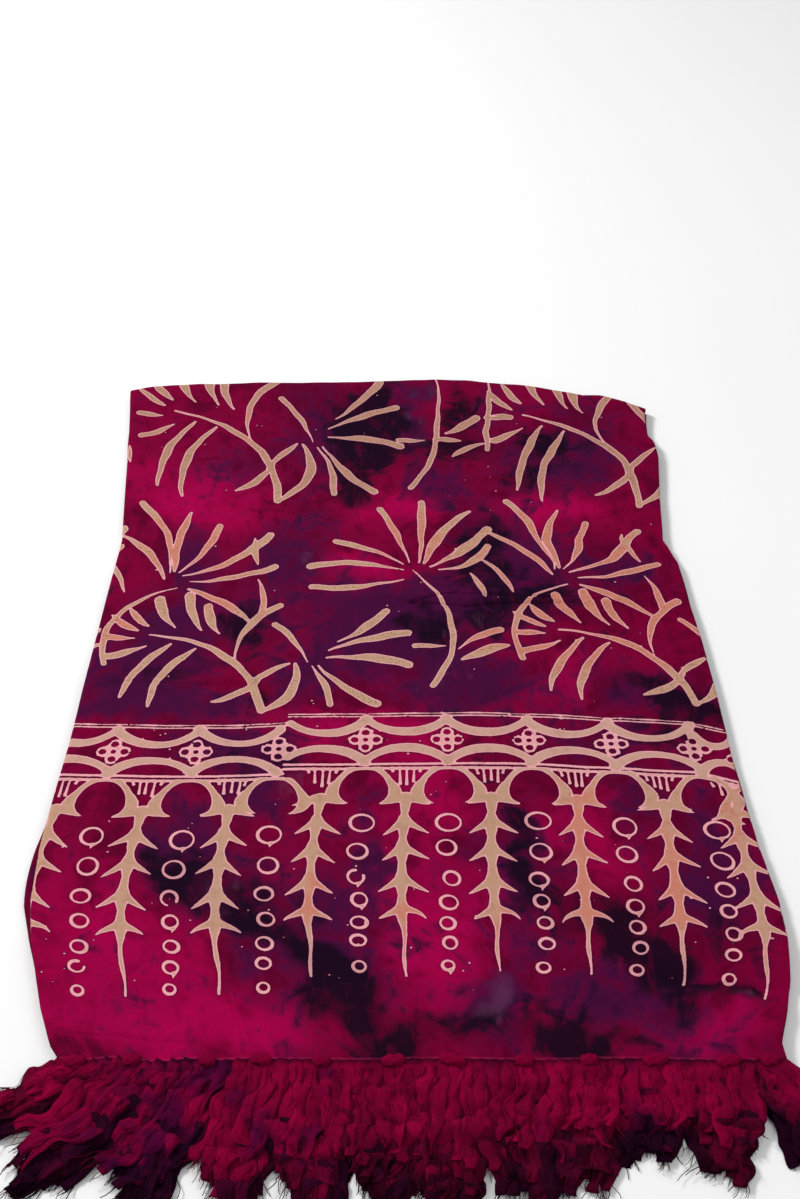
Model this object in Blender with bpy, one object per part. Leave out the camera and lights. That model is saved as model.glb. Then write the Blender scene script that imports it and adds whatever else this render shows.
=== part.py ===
"""Batik sarong folded flat: four layers of thin cloth with a knotted fringe at the near end.

The cloth is first folded side to side, which leaves a soft fold down the left, then end to end, which
leaves a soft fold across the far end. Selvages lie down the right, and both hems with their fringes
lie at the near end. Metres. +X is to the right, -Y is toward the fringe, +Z is up.
"""

import math
from collections import namedtuple

import bpy

# Sizes of the folded pile
STACK = 0.0092
WALL = 0.0014
GAP = 0.0003
FOLD_GAP = 0.0006
FAR_ROLL = STACK / 2
LEFT_ROLL = STACK / 4
ROLL_STEPS = 6
COLUMNS = 24
HIDDEN_LAYERS = 3

# Sizes of the fringe
STRIP_DEPTH = 0.0022
STRIP_HEIGHT = 0.0015
KNOT_RISE = 0.0016
KNOT_REACH = 0.0030
LOCK_WIDTH = 0.0078
LOCK_FILL = 0.80
LOCK_TIP = 0.55
LOCK_LOW = 0.0011
ROW_TIP_PITCH = 0.0015
FALL_LENGTH = 0.045

# The pile's sides. far is the distance from the hem, left and right are measured from the middle.
Side = namedtuple("Side", "far left right")
SIDES = (
    Side(0.000, -0.247, 0.281),
    Side(0.017, -0.255, 0.279),
    Side(0.045, -0.264, 0.288),
    Side(0.071, -0.272, 0.295),
    Side(0.110, -0.285, 0.299),
    Side(0.147, -0.291, 0.298),
    Side(0.200, -0.292, 0.291),
    Side(0.253, -0.289, 0.286),
    Side(0.316, -0.284, 0.282),
    Side(0.385, -0.281, 0.279),
    Side(0.448, -0.278, 0.275),
    Side(0.505, -0.275, 0.269),
    Side(0.558, -0.272, 0.266),
    Side(0.590, -0.270, 0.255),
    Side(0.655, -0.275, 0.259),
    Side(0.725, -0.280, 0.265),
    Side(0.745, -0.282, 0.263),
    Side(0.768, -0.283, 0.257),
    Side(0.790, -0.285, 0.258),
    Side(0.842, -0.290, 0.265),
)

# The far fold, from left to right: a low arch that drops away to the right with one small step.
Far = namedtuple("Far", "across far")
FAR_FOLD = (
    Far(-0.290, 0.842),
    Far(-0.266, 0.850),
    Far(-0.213, 0.855),
    Far(-0.150, 0.857),
    Far(-0.073, 0.858),
    Far(-0.003, 0.861),
    Far(0.035, 0.864),
    Far(0.076, 0.861),
    Far(0.130, 0.853),
    Far(0.183, 0.840),
    Far(0.198, 0.834),
    Far(0.218, 0.834),
    Far(0.243, 0.824),
    Far(0.266, 0.811),
)

# Rows across the pile, close together where a crease or the hem needs them.
ROWS = (
    0.000, 0.008, 0.018, 0.030, 0.046, 0.066, 0.090, 0.116, 0.146, 0.178, 0.212, 0.246, 0.280,
    0.314, 0.348, 0.382, 0.414, 0.444, 0.472, 0.490, 0.499, 0.506, 0.513, 0.526, 0.552, 0.582,
    0.612, 0.642, 0.674, 0.706, 0.738, 0.768, 0.792, 0.812, 0.828, 0.842,
)

# Creases as soft ridges (rise above zero) and troughs (rise below zero) along a straight line.
Crease = namedtuple("Crease", "from_x from_y to_x to_y width rise")
CREASES = (
    Crease(-0.020, 0.508, 0.206, 0.503, 0.007, 0.0015),
    Crease(-0.020, 0.492, 0.206, 0.488, 0.008, -0.0007),
    Crease(-0.214, 0.386, -0.142, 0.400, 0.010, 0.0006),
    Crease(-0.133, 0.068, -0.110, 0.012, 0.008, 0.0009),
    Crease(0.011, 0.080, 0.011, 0.000, 0.008, 0.0008),
    Crease(0.205, 0.072, 0.288, 0.064, 0.012, -0.0018),
    Crease(0.200, 0.094, 0.290, 0.090, 0.012, 0.0008),
    Crease(0.150, 0.805, 0.262, 0.742, 0.014, 0.0014),
    Crease(0.215, 0.800, 0.262, 0.770, 0.012, -0.0012),
    Crease(0.200, 0.600, 0.262, 0.585, 0.014, 0.0012),
    Crease(0.190, 0.570, 0.270, 0.562, 0.014, -0.0008),
    Crease(-0.285, 0.780, -0.230, 0.700, 0.016, 0.0008),
    Crease(-0.286, 0.210, -0.200, 0.160, 0.018, 0.0008),
    Crease(-0.245, 0.030, -0.120, 0.012, 0.009, 0.0010),
    Crease(-0.120, 0.010, 0.060, 0.008, 0.008, 0.0006),
    Crease(0.110, 0.014, 0.270, 0.016, 0.009, 0.0009),
)

# How far the hidden layers' edges stand out past the top layer's, down the right and down the left.
Step = namedtuple("Step", "far second third bottom left_fold")
LAYER_STEPS = (
    Step(0.000, -0.0010, 0.0006, -0.0004, 0.0000),
    Step(0.090, -0.0004, 0.0012, 0.0002, 0.0010),
    Step(0.120, 0.0004, -0.0008, 0.0010, 0.0040),
    Step(0.180, -0.0012, 0.0008, -0.0006, 0.0055),
    Step(0.240, -0.0006, 0.0014, 0.0004, 0.0030),
    Step(0.300, 0.0006, -0.0004, 0.0012, 0.0006),
    Step(0.480, -0.0010, 0.0010, -0.0006, 0.0000),
    Step(0.590, 0.0008, 0.0016, 0.0004, 0.0000),
    Step(0.700, -0.0008, -0.0002, 0.0010, 0.0012),
    Step(0.842, 0.0004, 0.0008, -0.0006, 0.0020),
)

# Tassels along the hem. start is where a tassel's roots begin, knot is its middle. top and low are
# where its tips lie in the top row and in the bottom row, across from the middle and out from the hem.
Tassel = namedtuple("Tassel", "start knot locks top_x top_out low_x low_out")
TASSELS = (
    Tassel(-0.2465, -0.236, 3, -0.291, 0.037, -0.292, 0.058),
    Tassel(-0.2165, -0.195, 5, -0.264, 0.073, -0.253, 0.105),
    Tassel(-0.1675, -0.140, 5, -0.200, 0.085, -0.183, 0.115),
    Tassel(-0.1206, -0.101, 4, -0.128, 0.081, -0.112, 0.120),
    Tassel(-0.0790, -0.057, 5, -0.069, 0.085, -0.061, 0.122),
    Tassel(-0.0310, -0.005, 5, -0.017, 0.085, -0.010, 0.120),
    Tassel(0.0163, 0.038, 5, 0.028, 0.081, 0.030, 0.122),
    Tassel(0.0640, 0.090, 5, 0.077, 0.069, 0.086, 0.115),
    Tassel(0.1137, 0.137, 5, 0.123, 0.058, 0.126, 0.104),
    Tassel(0.1614, 0.185, 5, 0.183, 0.054, 0.173, 0.081),
    Tassel(0.2119, 0.238, 4, 0.234, 0.065, 0.221, 0.098),
    Tassel(0.2552, 0.268, 3, 0.292, 0.042, 0.286, 0.092),
)
HEM_RIGHT = 0.2805

# Fringe rows from the top down. low says how far a row's tips go from the top row's to the bottom
# row's, squeeze how much a tassel narrows at its tips, sections how many rings a lock has.
Row = namedtuple("Row", "name low squeeze sections")
FRINGE_ROWS = (
    Row("fringe_row_top", 0.0, 0.92, 4),
    Row("fringe_row_second", 0.45, 0.80, 3),
    Row("fringe_row_third", 0.80, 0.76, 3),
    Row("fringe_row_bottom", 1.0, 0.72, 4),
)


def between(a, b, t):
    return a + (b - a) * t


def read(table, key, column, at):
    """A column of a table at one place along it, in straight steps from row to row."""
    rows = [(getattr(row, key), getattr(row, column)) for row in table]
    if at <= rows[0][0]:
        return rows[0][1]
    for (here, a), (there, b) in zip(rows, rows[1:]):
        if at <= there:
            return between(a, b, (at - here) / (there - here))
    return rows[-1][1]


def hem_line(x):
    """How far the hem waves in and out: gathered a little at the left and nearly straight elsewhere."""
    gather = 1.0 / (1.0 + math.exp((x + 0.13) / 0.02))
    return 0.0006 * math.sin(x / 0.021) + 0.0014 * gather * math.sin(x / 0.0085 + 0.6)


def crease_height(x, y):
    rise = 0.0
    for crease in CREASES:
        run_x = crease.to_x - crease.from_x
        run_y = crease.to_y - crease.from_y
        length = math.hypot(run_x, run_y)
        along = ((x - crease.from_x) * run_x + (y - crease.from_y) * run_y) / length
        aside = ((x - crease.from_x) * run_y - (y - crease.from_y) * run_x) / length
        past = max(0.0, -along, along - length)
        rise += crease.rise * math.exp(-(aside / crease.width) ** 2 - (past / (2 * crease.width)) ** 2)
    return rise


def pile_height(x, y):
    """Height of the top of the pile: puffy at the folds, thinner at the selvages."""
    far_puff = 0.0012 * math.exp(-((0.845 - y) / 0.040) ** 2)
    left_puff = 0.0007 * math.exp(-((x + 0.285) / 0.035) ** 2)
    selvage = -0.0007 * math.exp(-((x - 0.285) / 0.050) ** 2)
    hem_puff = 0.0005 * math.exp(-((y - 0.014) / 0.018) ** 2)
    swell = 0.0003 * math.sin(x / 0.055 + y / 0.12) * math.sin(y / 0.074 + 0.8)
    return STACK + far_puff + left_puff + selvage + hem_puff + swell + crease_height(x, y)


def pile_point(u, v):
    """A point of the flat top of the pile. u runs from the left fold to the selvages, v from hem to fold."""
    left = read(SIDES, "far", "left", v * FAR_FOLD[0].far) + LEFT_ROLL
    right = read(SIDES, "far", "right", v * FAR_FOLD[-1].far)
    x = between(left, right, u)
    y = between(hem_line(x), read(FAR_FOLD, "across", "far", x) - FAR_ROLL, v)
    return x, y


ROW_COUNT = len(ROWS) - 1
GRID = [
    [pile_point(i / COLUMNS, row / ROWS[-1]) for i in range(COLUMNS + 1)]
    for row in ROWS
]


def halves(i, j):
    """The two triangles of one square of the grid, cut the same way in every layer."""
    yield (i, j), (i + 1, j), (i + 1, j + 1)
    yield (i, j), (i + 1, j + 1), (i, j + 1)


def hem_edge(x):
    """Where the built hem runs: straight from one column of the grid to the next."""
    hem = GRID[0]
    if x <= hem[0][0]:
        return hem[0][1]
    for here, there in zip(hem, hem[1:]):
        if x <= there[0]:
            return between(here[1], there[1], (x - here[0]) / (there[0] - here[0]))
    return hem[-1][1]


def add_object(name, points, faces, colour, roughness):
    mesh = bpy.data.meshes.new(name)
    mesh.from_pydata(points, [], faces)
    mesh.validate()
    mesh.update()
    material = bpy.data.materials.new(name + "_cloth")
    material.use_nodes = True
    shader = material.node_tree.nodes["Principled BSDF"]
    shader.inputs["Base Color"].default_value = (*colour, 1.0)
    shader.inputs["Roughness"].default_value = roughness
    mesh.materials.append(material)
    thing = bpy.data.objects.new(name, mesh)
    bpy.context.scene.collection.objects.link(thing)
    return thing


def fold_path():
    """Grid places and outward directions down the left fold, from the hem, and then along the far fold."""
    path = [(0, j, -1.0, 0.0, LEFT_ROLL) for j in range(ROW_COUNT)]
    path.append((0, ROW_COUNT, -math.sqrt(0.5), math.sqrt(0.5), (LEFT_ROLL + FAR_ROLL) / 2))
    path += [(i, ROW_COUNT, 0.0, 1.0, FAR_ROLL) for i in range(1, COLUMNS + 1)]
    return path


def roll_size(x, y, roll):
    """A roll's outer radius where the pile is this high: half the pile at the far fold, a quarter at the left."""
    return pile_height(x, y) * roll / STACK


def make_top_layer():
    """The layer that shows: a wall with its two folded sides rolled down and under."""
    points = []
    faces = []
    outer = {}
    inner = {}
    for j in range(ROW_COUNT + 1):
        for i in range(COLUMNS + 1):
            x, y = GRID[j][i]
            top = pile_height(x, y)
            outer[i, j] = len(points)
            points.append((x, y, top))
            inner[i, j] = len(points)
            points.append((x, y, top - WALL))
    for j in range(ROW_COUNT):
        for i in range(COLUMNS):
            for corners in halves(i, j):
                faces.append([outer[c] for c in corners])
                faces.append([inner[c] for c in reversed(corners)])

    rings = []
    for i, j, out_x, out_y, roll in fold_path():
        x, y = GRID[j][i]
        top = pile_height(x, y)
        radius = roll_size(x, y, roll)
        ring = [(outer[i, j], inner[i, j])]
        for step in range(1, ROLL_STEPS + 1):
            angle = math.pi * step / ROLL_STEPS
            pair = []
            for size in (radius, radius - WALL):
                out = size * math.sin(angle)
                z = top - radius + size * math.cos(angle)
                pair.append(len(points))
                points.append((x + out_x * out, y + out_y * out, z))
            ring.append(tuple(pair))
        rings.append(ring)
    for here, there in zip(rings, rings[1:]):
        for k in range(ROLL_STEPS):
            faces.append([here[k][0], there[k][0], there[k + 1][0], here[k + 1][0]])
            faces.append([here[k + 1][1], there[k + 1][1], there[k][1], here[k][1]])
        last = ROLL_STEPS
        faces.append([here[last][0], there[last][0], there[last][1], here[last][1]])
    for ring, first in ((rings[0], True), (rings[-1], False)):
        for k in range(ROLL_STEPS):
            face = [ring[k][0], ring[k + 1][0], ring[k + 1][1], ring[k][1]]
            faces.append(face if first else face[::-1])

    for i in range(COLUMNS):
        faces.append([outer[i, 0], inner[i, 0], inner[i + 1, 0], outer[i + 1, 0]])
    for j in range(ROW_COUNT):
        a, b = (COLUMNS, j), (COLUMNS, j + 1)
        faces.append([outer[a], inner[a], inner[b], outer[b]])
    return add_object("cloth_top_layer", points, faces, (0.24, 0.004, 0.05), 0.75)


def fold_profile(top, radius, stand_out):
    """The hidden layers inside a fold, from the top down, as distances out and heights."""
    ceiling = top - WALL - GAP
    core = radius - WALL - FOLD_GAP
    middle = top - radius
    floor = middle - radius
    shape = [(0.0, ceiling)]
    for angle in (45.0, 90.0, 135.0):
        turn = math.radians(angle)
        shape.append((core * math.sin(turn), middle + core * math.cos(turn)))
    shelf = floor + WALL + FOLD_GAP
    shape.append((0.0, shelf))
    shape.append((-FOLD_GAP, shelf - 0.0001))
    if floor < 0.0006:
        shape.append((-FOLD_GAP - 0.0002, 0.0))
        shape += [(-FOLD_GAP - 0.001 * k, 0.0) for k in (1, 2, 3)]
        return shape
    under = floor - GAP
    bulge = under / 2
    shape.append((-FOLD_GAP, under))
    for angle in (50.0, 120.0):
        turn = math.radians(angle)
        reach = (radius + stand_out) * math.sin(turn)
        shape.append((reach, bulge + bulge * math.cos(turn)))
    shape.append((0.0, 0.0))
    return shape


def edge_profile(top, stand_outs):
    """Three layers' edges one above the other, with a groove between each two."""
    ceiling = top - WALL - GAP
    layer = ceiling / HIDDEN_LAYERS
    shape = [(-0.0004, ceiling)]
    for number, out in enumerate(stand_outs):
        base = ceiling - number * layer
        shape.append((out, base - 0.30 * layer))
        shape.append((out, base - 0.72 * layer))
        if number < HIDDEN_LAYERS - 1:
            shape.append((min(stand_outs) - 0.0022, base - layer))
    shape.append((min(stand_outs) - 0.0003, 0.0))
    return shape


def rim_places():
    """All round the pile: grid place, outward direction and which side it is on."""
    places = [(0, 0, -1.0, 0.0, "left")]
    places += [(i, 0, 0.0, -1.0, "hem") for i in range(1, COLUMNS)]
    places += [(COLUMNS, j, 1.0, 0.0, "selvage") for j in range(ROW_COUNT)]
    places += [(COLUMNS, ROW_COUNT, 0.0, 1.0, "far")]
    places += [(i, ROW_COUNT, 0.0, 1.0, "far") for i in range(COLUMNS - 1, 0, -1)]
    places += [(0, ROW_COUNT, -math.sqrt(0.5), math.sqrt(0.5), "corner")]
    places += [(0, j, -1.0, 0.0, "left") for j in range(ROW_COUNT - 1, 0, -1)]
    return places


def make_under_layers():
    """The three hidden layers as one rounded solid with a flat underside."""
    points = []
    faces = []
    top_of = {}
    for j in range(ROW_COUNT + 1):
        for i in range(COLUMNS + 1):
            x, y = GRID[j][i]
            top_of[i, j] = len(points)
            points.append((x, y, pile_height(x, y) - WALL - GAP))
    for j in range(ROW_COUNT):
        for i in range(COLUMNS):
            for corners in halves(i, j):
                faces.append([top_of[c] for c in corners])

    rings = []
    for i, j, out_x, out_y, side in rim_places():
        x, y = GRID[j][i]
        top = pile_height(x, y)
        far = ROWS[j]
        if side == "hem":
            shape = edge_profile(top, (-0.0003, -0.0009, -0.0005))
        elif side == "selvage":
            outs = [read(LAYER_STEPS, "far", name, far) for name in ("second", "third", "bottom")]
            shape = edge_profile(top, outs)
        elif side == "far":
            shape = fold_profile(top, roll_size(x, y, FAR_ROLL), 0.0)
        elif side == "corner":
            shape = fold_profile(top, roll_size(x, y, (LEFT_ROLL + FAR_ROLL) / 2), 0.0)
        else:
            stand_out = read(LAYER_STEPS, "far", "left_fold", far)
            shape = fold_profile(top, roll_size(x, y, LEFT_ROLL), stand_out)
        ring = [top_of[i, j]]
        for out, z in shape[1:]:
            ring.append(len(points))
            points.append((x + out_x * out, y + out_y * out, z))
        rings.append(ring)
    for here, there in zip(rings, rings[1:] + rings[:1]):
        for k in range(len(here) - 1):
            faces.append([here[k], here[k + 1], there[k + 1], there[k]])
    faces.append([ring[-1] for ring in reversed(rings)])
    return add_object("cloth_under_layers", points, faces, (0.16, 0.004, 0.045), 0.8)


def lock_roots():
    """Every lock's root along the hem: where it starts and ends, its tassel and its place in the tassel."""
    roots = []
    ends = [tassel.start for tassel in TASSELS[1:]] + [HEM_RIGHT]
    for tassel, end in zip(TASSELS, ends):
        pitch = (end - tassel.start) / tassel.locks
        for number in range(tassel.locks):
            start = tassel.start + number * pitch
            place = number - (tassel.locks - 1) / 2
            roots.append((start, start + pitch, tassel, place, pitch))
    return roots


def uneven(number, spread):
    """A small unevenness that is the same each time."""
    return spread * math.sin(12.9 * number + 4.1 * math.sin(3.7 * number))


def lock_path(root, row, row_number, number):
    """Middle line of one lock as points across and out, with the direction it leaves in."""
    start, end, tassel, place, pitch = root
    root_x = (start + end) / 2
    root_y = hem_edge(root_x) - GAP - STRIP_DEPTH
    aim_x = between(tassel.top_x, tassel.low_x, row.low)
    aim_out = between(tassel.top_out, tassel.low_out, row.low)
    run_x = aim_x - tassel.knot
    size = math.hypot(run_x, aim_out)
    side_x, side_y = aim_out / size, run_x / size
    aside = place * pitch * row.squeeze * side_x
    reach = 1.0 + uneven(number + 17 * row_number, 0.05)
    tip_x = tassel.knot + run_x * reach + side_x * aside
    tip_y = -aim_out * reach + side_y * aside
    bend_x = between(root_x, tip_x, 0.30)
    bend_y = between(root_y, tip_y, 0.55)
    path = []
    for ring in range(row.sections + 1):
        t = (ring / row.sections) ** 1.25
        x = between(between(root_x, bend_x, t), between(bend_x, tip_x, t), t)
        y = between(between(root_y, bend_y, t), between(bend_y, tip_y, t), t)
        way_x = between(bend_x - root_x, tip_x - bend_x, t)
        way_y = between(bend_y - root_y, tip_y - bend_y, t)
        size = math.hypot(way_x, way_y)
        path.append((x, y, -way_y / size, way_x / size))
    return path


def lock_width(paths, number, ring):
    """Half the width of a lock at one ring, kept clear of the locks beside it."""
    x, y, side_x, side_y = paths[number][ring]
    room = LOCK_WIDTH
    for other in (number - 1, number + 1):
        if 0 <= other < len(paths):
            far_x, far_y = paths[other][ring][:2]
            room = min(room, abs((far_x - x) * side_x + (far_y - y) * side_y))
    t = ring / (len(paths[number]) - 1)
    return room * LOCK_FILL * between(1.0, LOCK_TIP, t ** 3) / 2


def make_fringe_row(row, row_number):
    """One row of the fringe: a narrow knotted strip just off the hem, with its locks of yarn."""
    layer = (STACK - WALL) / HIDDEN_LAYERS
    root_z = STACK - WALL / 2 + 0.0002
    if row_number:
        root_z = STACK - WALL - layer * (row_number - 0.5)
    tip_z = LOCK_LOW + ROW_TIP_PITCH * (len(FRINGE_ROWS) - 1 - row_number)
    roots = lock_roots()
    paths = [lock_path(root, row, row_number, n) for n, root in enumerate(roots)]

    points = []
    faces = []
    columns = []
    edges = [root[0] for root in roots] + [roots[-1][1]]
    for x in edges:
        nearest = min(abs(x - tassel.knot) for tassel in TASSELS)
        knot = max(0.0, 1.0 - nearest / 0.0085)
        rise = KNOT_RISE * knot if row_number == 0 else 0.0
        back = hem_edge(x) - 1.5 * GAP
        front = back - STRIP_DEPTH - KNOT_REACH * knot
        low = root_z - STRIP_HEIGHT / 2
        high = root_z + STRIP_HEIGHT / 2
        columns.append(range(len(points), len(points) + 4))
        points += [(x, front, low), (x, front, high + rise), (x, back, high + rise), (x, back, low)]
    for here, there in zip(columns, columns[1:]):
        faces.append([here[1], there[1], there[2], here[2]])
        faces.append([here[2], there[2], there[3], here[3]])
        faces.append([here[3], there[3], there[0], here[0]])
    faces.append(list(columns[0]))
    faces.append(list(reversed(columns[-1])))

    for number, path in enumerate(paths):
        here, there = columns[number], columns[number + 1]
        ring = [here[0], there[0], there[1], here[1]]
        for section in range(1, row.sections + 1):
            x, y, side_x, side_y = path[section]
            length = math.hypot(x - path[0][0], y - path[0][1])
            drop = math.exp(-length / FALL_LENGTH)
            z = between(tip_z, root_z, drop)
            half = lock_width(paths, number, section)
            thick = between(0.00042, STRIP_HEIGHT / 2, drop)
            first = len(points)
            for aside, rise in ((-half, -thick), (half, -thick), (half, thick), (-half, thick)):
                points.append((x + side_x * aside, y + side_y * aside, z + rise))
            for k in range(4):
                n = (k + 1) % 4
                faces.append([ring[k], first + k, first + n, ring[n]])
            ring = [first + k for k in range(4)]
        faces.append(ring)
    return add_object(row.name, points, faces, (0.19, 0.002, 0.03), 0.85)


def face_out(things):
    """Turns each piece's faces outward."""
    for thing in things:
        bpy.context.view_layer.objects.active = thing
        bpy.ops.object.mode_set(mode="EDIT")
        bpy.ops.mesh.select_all(action="SELECT")
        bpy.ops.mesh.normals_make_consistent(inside=False)
        bpy.ops.object.mode_set(mode="OBJECT")


def centre_on_floor(things):
    """Moves all pieces so that the middle of the whole lies over the origin and its underside on z = 0."""
    corners = [v.co for thing in things for v in thing.data.vertices]
    middle_x = (min(c.x for c in corners) + max(c.x for c in corners)) / 2
    middle_y = (min(c.y for c in corners) + max(c.y for c in corners)) / 2
    low = min(c.z for c in corners)
    for thing in things:
        for vertex in thing.data.vertices:
            vertex.co.x -= middle_x
            vertex.co.y -= middle_y
            vertex.co.z -= low
        thing.data.update()


for old in list(bpy.data.objects):
    bpy.data.objects.remove(old)

pieces = [make_top_layer(), make_under_layers()]
pieces += [make_fringe_row(row, number) for number, row in enumerate(FRINGE_ROWS)]
face_out(pieces)
centre_on_floor(pieces)
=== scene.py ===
"""Batik sarong folded flat: its printed and dyed cloth, its hidden layers and its knotted fringe."""

import math
from collections import namedtuple

import bpy
import numpy as np
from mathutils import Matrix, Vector
from mathutils.geometry import delaunay_2d_cdt


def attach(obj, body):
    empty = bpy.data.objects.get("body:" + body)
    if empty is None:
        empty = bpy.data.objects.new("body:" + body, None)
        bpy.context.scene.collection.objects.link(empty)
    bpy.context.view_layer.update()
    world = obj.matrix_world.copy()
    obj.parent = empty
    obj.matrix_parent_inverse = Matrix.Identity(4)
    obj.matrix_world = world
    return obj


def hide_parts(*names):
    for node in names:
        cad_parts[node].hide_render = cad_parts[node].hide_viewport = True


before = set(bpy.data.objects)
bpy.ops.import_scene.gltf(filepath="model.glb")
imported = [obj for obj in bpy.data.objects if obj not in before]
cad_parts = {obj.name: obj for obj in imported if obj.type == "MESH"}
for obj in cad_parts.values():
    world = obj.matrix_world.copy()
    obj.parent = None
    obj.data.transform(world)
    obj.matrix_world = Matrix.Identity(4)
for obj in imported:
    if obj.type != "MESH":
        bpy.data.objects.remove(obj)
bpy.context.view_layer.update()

# The cloth, in metres. The middle of the part lies this far right of the middle of the hem, and this
# far beyond it. STACK is the height of the pile. A roll is the radius of an edge that turns under.
MIDDLE_X = 0.001847
MIDDLE_Y = 0.367854
CLOTH_WIDTH = 0.575
STACK = 0.0092
FAR_ROLL = STACK / 2
LEFT_ROLL = 0.0021
SELVAGE_ROLL = 0.00035
SELVAGE_TURN = math.pi * SELVAGE_ROLL
TURN_UNDER = 0.0030

# How far a hidden layer goes past its edges, and how far up the cloth the hem's waver dies out.
HIDDEN_TURN = 0.004
HEM_REACH = 0.03

# From the hem to the far fold, in the plan of the top layer and in the layers below, and where the
# two ends of that fold lie.
FOLD_LENGTH = 0.8500
UNDER_LENGTH = 0.826
FAR_ENDS = (-0.288, 0.266)

# How far the top layer lies above the pile, and how near to the ground any cloth comes.
CLEAR = 0.0001
LOWEST = 0.0002

# The mesh: the step of its grid, the least step between points along the wax, how far those points
# lie outside and inside a line's edge, and the points round a selvage and a hem that turn under. A
# line with more than WIDE_LINE to each side has points along its middle too. ROUND_END gives the
# points round a line's end, in radians.
GRID_STEP = 0.0046
OUTLINE_STEP = 0.00045
OUTSIDE = 0.0009
INSIDE = 0.0008
WIDE_LINE = 0.0022
ROUND_END = (-0.9, 0.0, 0.9)
EDGE_TURN = (0.0003, 0.0006, 0.0009, 0.0011)
HEM_TURN = (-0.0011, -0.0008, -0.0005, -0.0002)


def in_metres(kind, rows, plain=()):
    """A table that is written in millimetres. Its columns named in plain stay as they are."""
    made = []
    for row in rows:
        values = [v if name in plain else v / 1000.0 for name, v in zip(kind._fields, row)]
        made.append(kind(*values))
    return made


# The outline of the pile: how far from the hem, and where its left and right sides are there.
Side = namedtuple("Side", "far left right")
SIDES = in_metres(Side, (
    (0, -247, 281), (17, -258, 279), (45, -268, 288), (71, -275, 295), (110, -285, 299),
    (147, -291, 298), (200, -292, 291), (253, -289, 286), (316, -284, 282), (385, -281, 279),
    (448, -278, 275), (505, -275, 269), (558, -272, 266), (590, -270, 255), (655, -275, 259),
    (725, -280, 265), (745, -282, 263), (768, -283, 257), (790, -285, 258), (842, -290, 265),
))

# The far fold: how far from the hem it is, from its left end to its right end.
Far = namedtuple("Far", "across far")
FAR_FOLD = in_metres(Far, (
    (-290, 842), (-266, 850), (-213, 855), (-150, 857), (-73, 858), (-3, 861), (35, 864),
    (76, 861), (130, 853), (183, 840), (198, 834), (218, 834), (243, 824), (266, 811),
))

# Creases as soft ridges (rise above zero) and troughs (rise below zero) along a straight line.
Crease = namedtuple("Crease", "from_x from_y to_x to_y width rise")
CREASES = in_metres(Crease, (
    (-20, 508, 206, 503, 5.5, 1.7), (-20, 496, 206, 491, 5, -0.9),
    (70, 500, 235, 478, 4.5, 0.9), (-214, 386, -142, 400, 6, 0.8),
    (-235, 377, -150, 388, 5, -0.6), (-133, 68, -110, 12, 4.5, 1.1),
    (-126, 66, -103, 12, 4.5, -0.7), (11, 84, 11, 0, 4.5, 0.9),
    (18, 60, 17, 0, 4.5, -0.6), (205, 72, 288, 64, 10, -1.8),
    (200, 92, 290, 90, 11, 0.9), (215, 52, 286, 45, 8, 0.7),
    (150, 805, 262, 742, 12, 1.6), (190, 815, 262, 768, 10, -1.3),
    (200, 600, 262, 585, 11, 1.3), (190, 570, 270, 562, 10, -0.9),
    (120, 555, 215, 545, 7, 0.6), (-285, 780, -230, 700, 14, 0.9),
    (-286, 210, -200, 160, 16, 0.9), (-150, 300, 20, 330, 12, 0.4),
    (60, 240, 200, 215, 14, 0.4), (-245, 30, -120, 12, 8, 1.2),
    (-120, 10, 60, 8, 7.5, 0.8), (110, 14, 270, 16, 8, 1.1),
    (-195, 34, -188, 0, 5, 1), (-150, 30, -146, 0, 4.5, 0.8),
    (90, 24, 92, 0, 4.5, 0.6), (188, 30, 186, 0, 5, 0.9),
    (232, 40, 238, 0, 6, 1.2),
))

# Fine wrinkles: thin pressed lines and small tucks, with a crisp edge.
WRINKLES = in_metres(Crease, (
    (12, 500, 50, 513, 1.4, -1.8), (50, 513, 140, 506, 1.4, -2),
    (12, 500, 64, 495, 1.2, -1.6), (64, 495, 150, 499, 1.2, -1.4),
    (140, 506, 205, 501, 1.3, -1.3), (12, 500, -20, 505, 1.8, -0.6),
    (-270, 395, -160, 388, 1.4, -0.7), (-264, 401, -190, 398, 1.4, -0.5),
    (-160, 388, -100, 393, 1.4, -0.4), (-133, 68, -112, 12, 1.4, -0.9),
    (13.5, 64, 12.5, 2, 1.3, -0.6), (88, 24, 96, 2, 1.4, -0.6),
    (206, 70, 284, 64, 2.2, -0.8), (185, 810, 258, 760, 2, -0.8),
    (150, 601, 256, 587, 1.8, -0.6), (-240, 22, -150, 12, 1.6, -0.6),
    (150, 18, 230, 12, 1.6, -0.6), (-80, 342, 30, 344, 1.4, -0.4),
))

# How far creases and wrinkles sway aside of their straight lines.
CREASE_SWAY = 0.0016
WRINKLE_SWAY = 0.0004

# The mesh has points along the wrinkles: so many of their widths aside, so far apart, and so far past
# their ends.
WRINKLE_ASIDE = (-2.4, -1.4, -0.7, 0.0, 0.7, 1.4, 2.4)
WRINKLE_STEP = 0.0024
WRINKLE_PAST = 0.003

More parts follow.
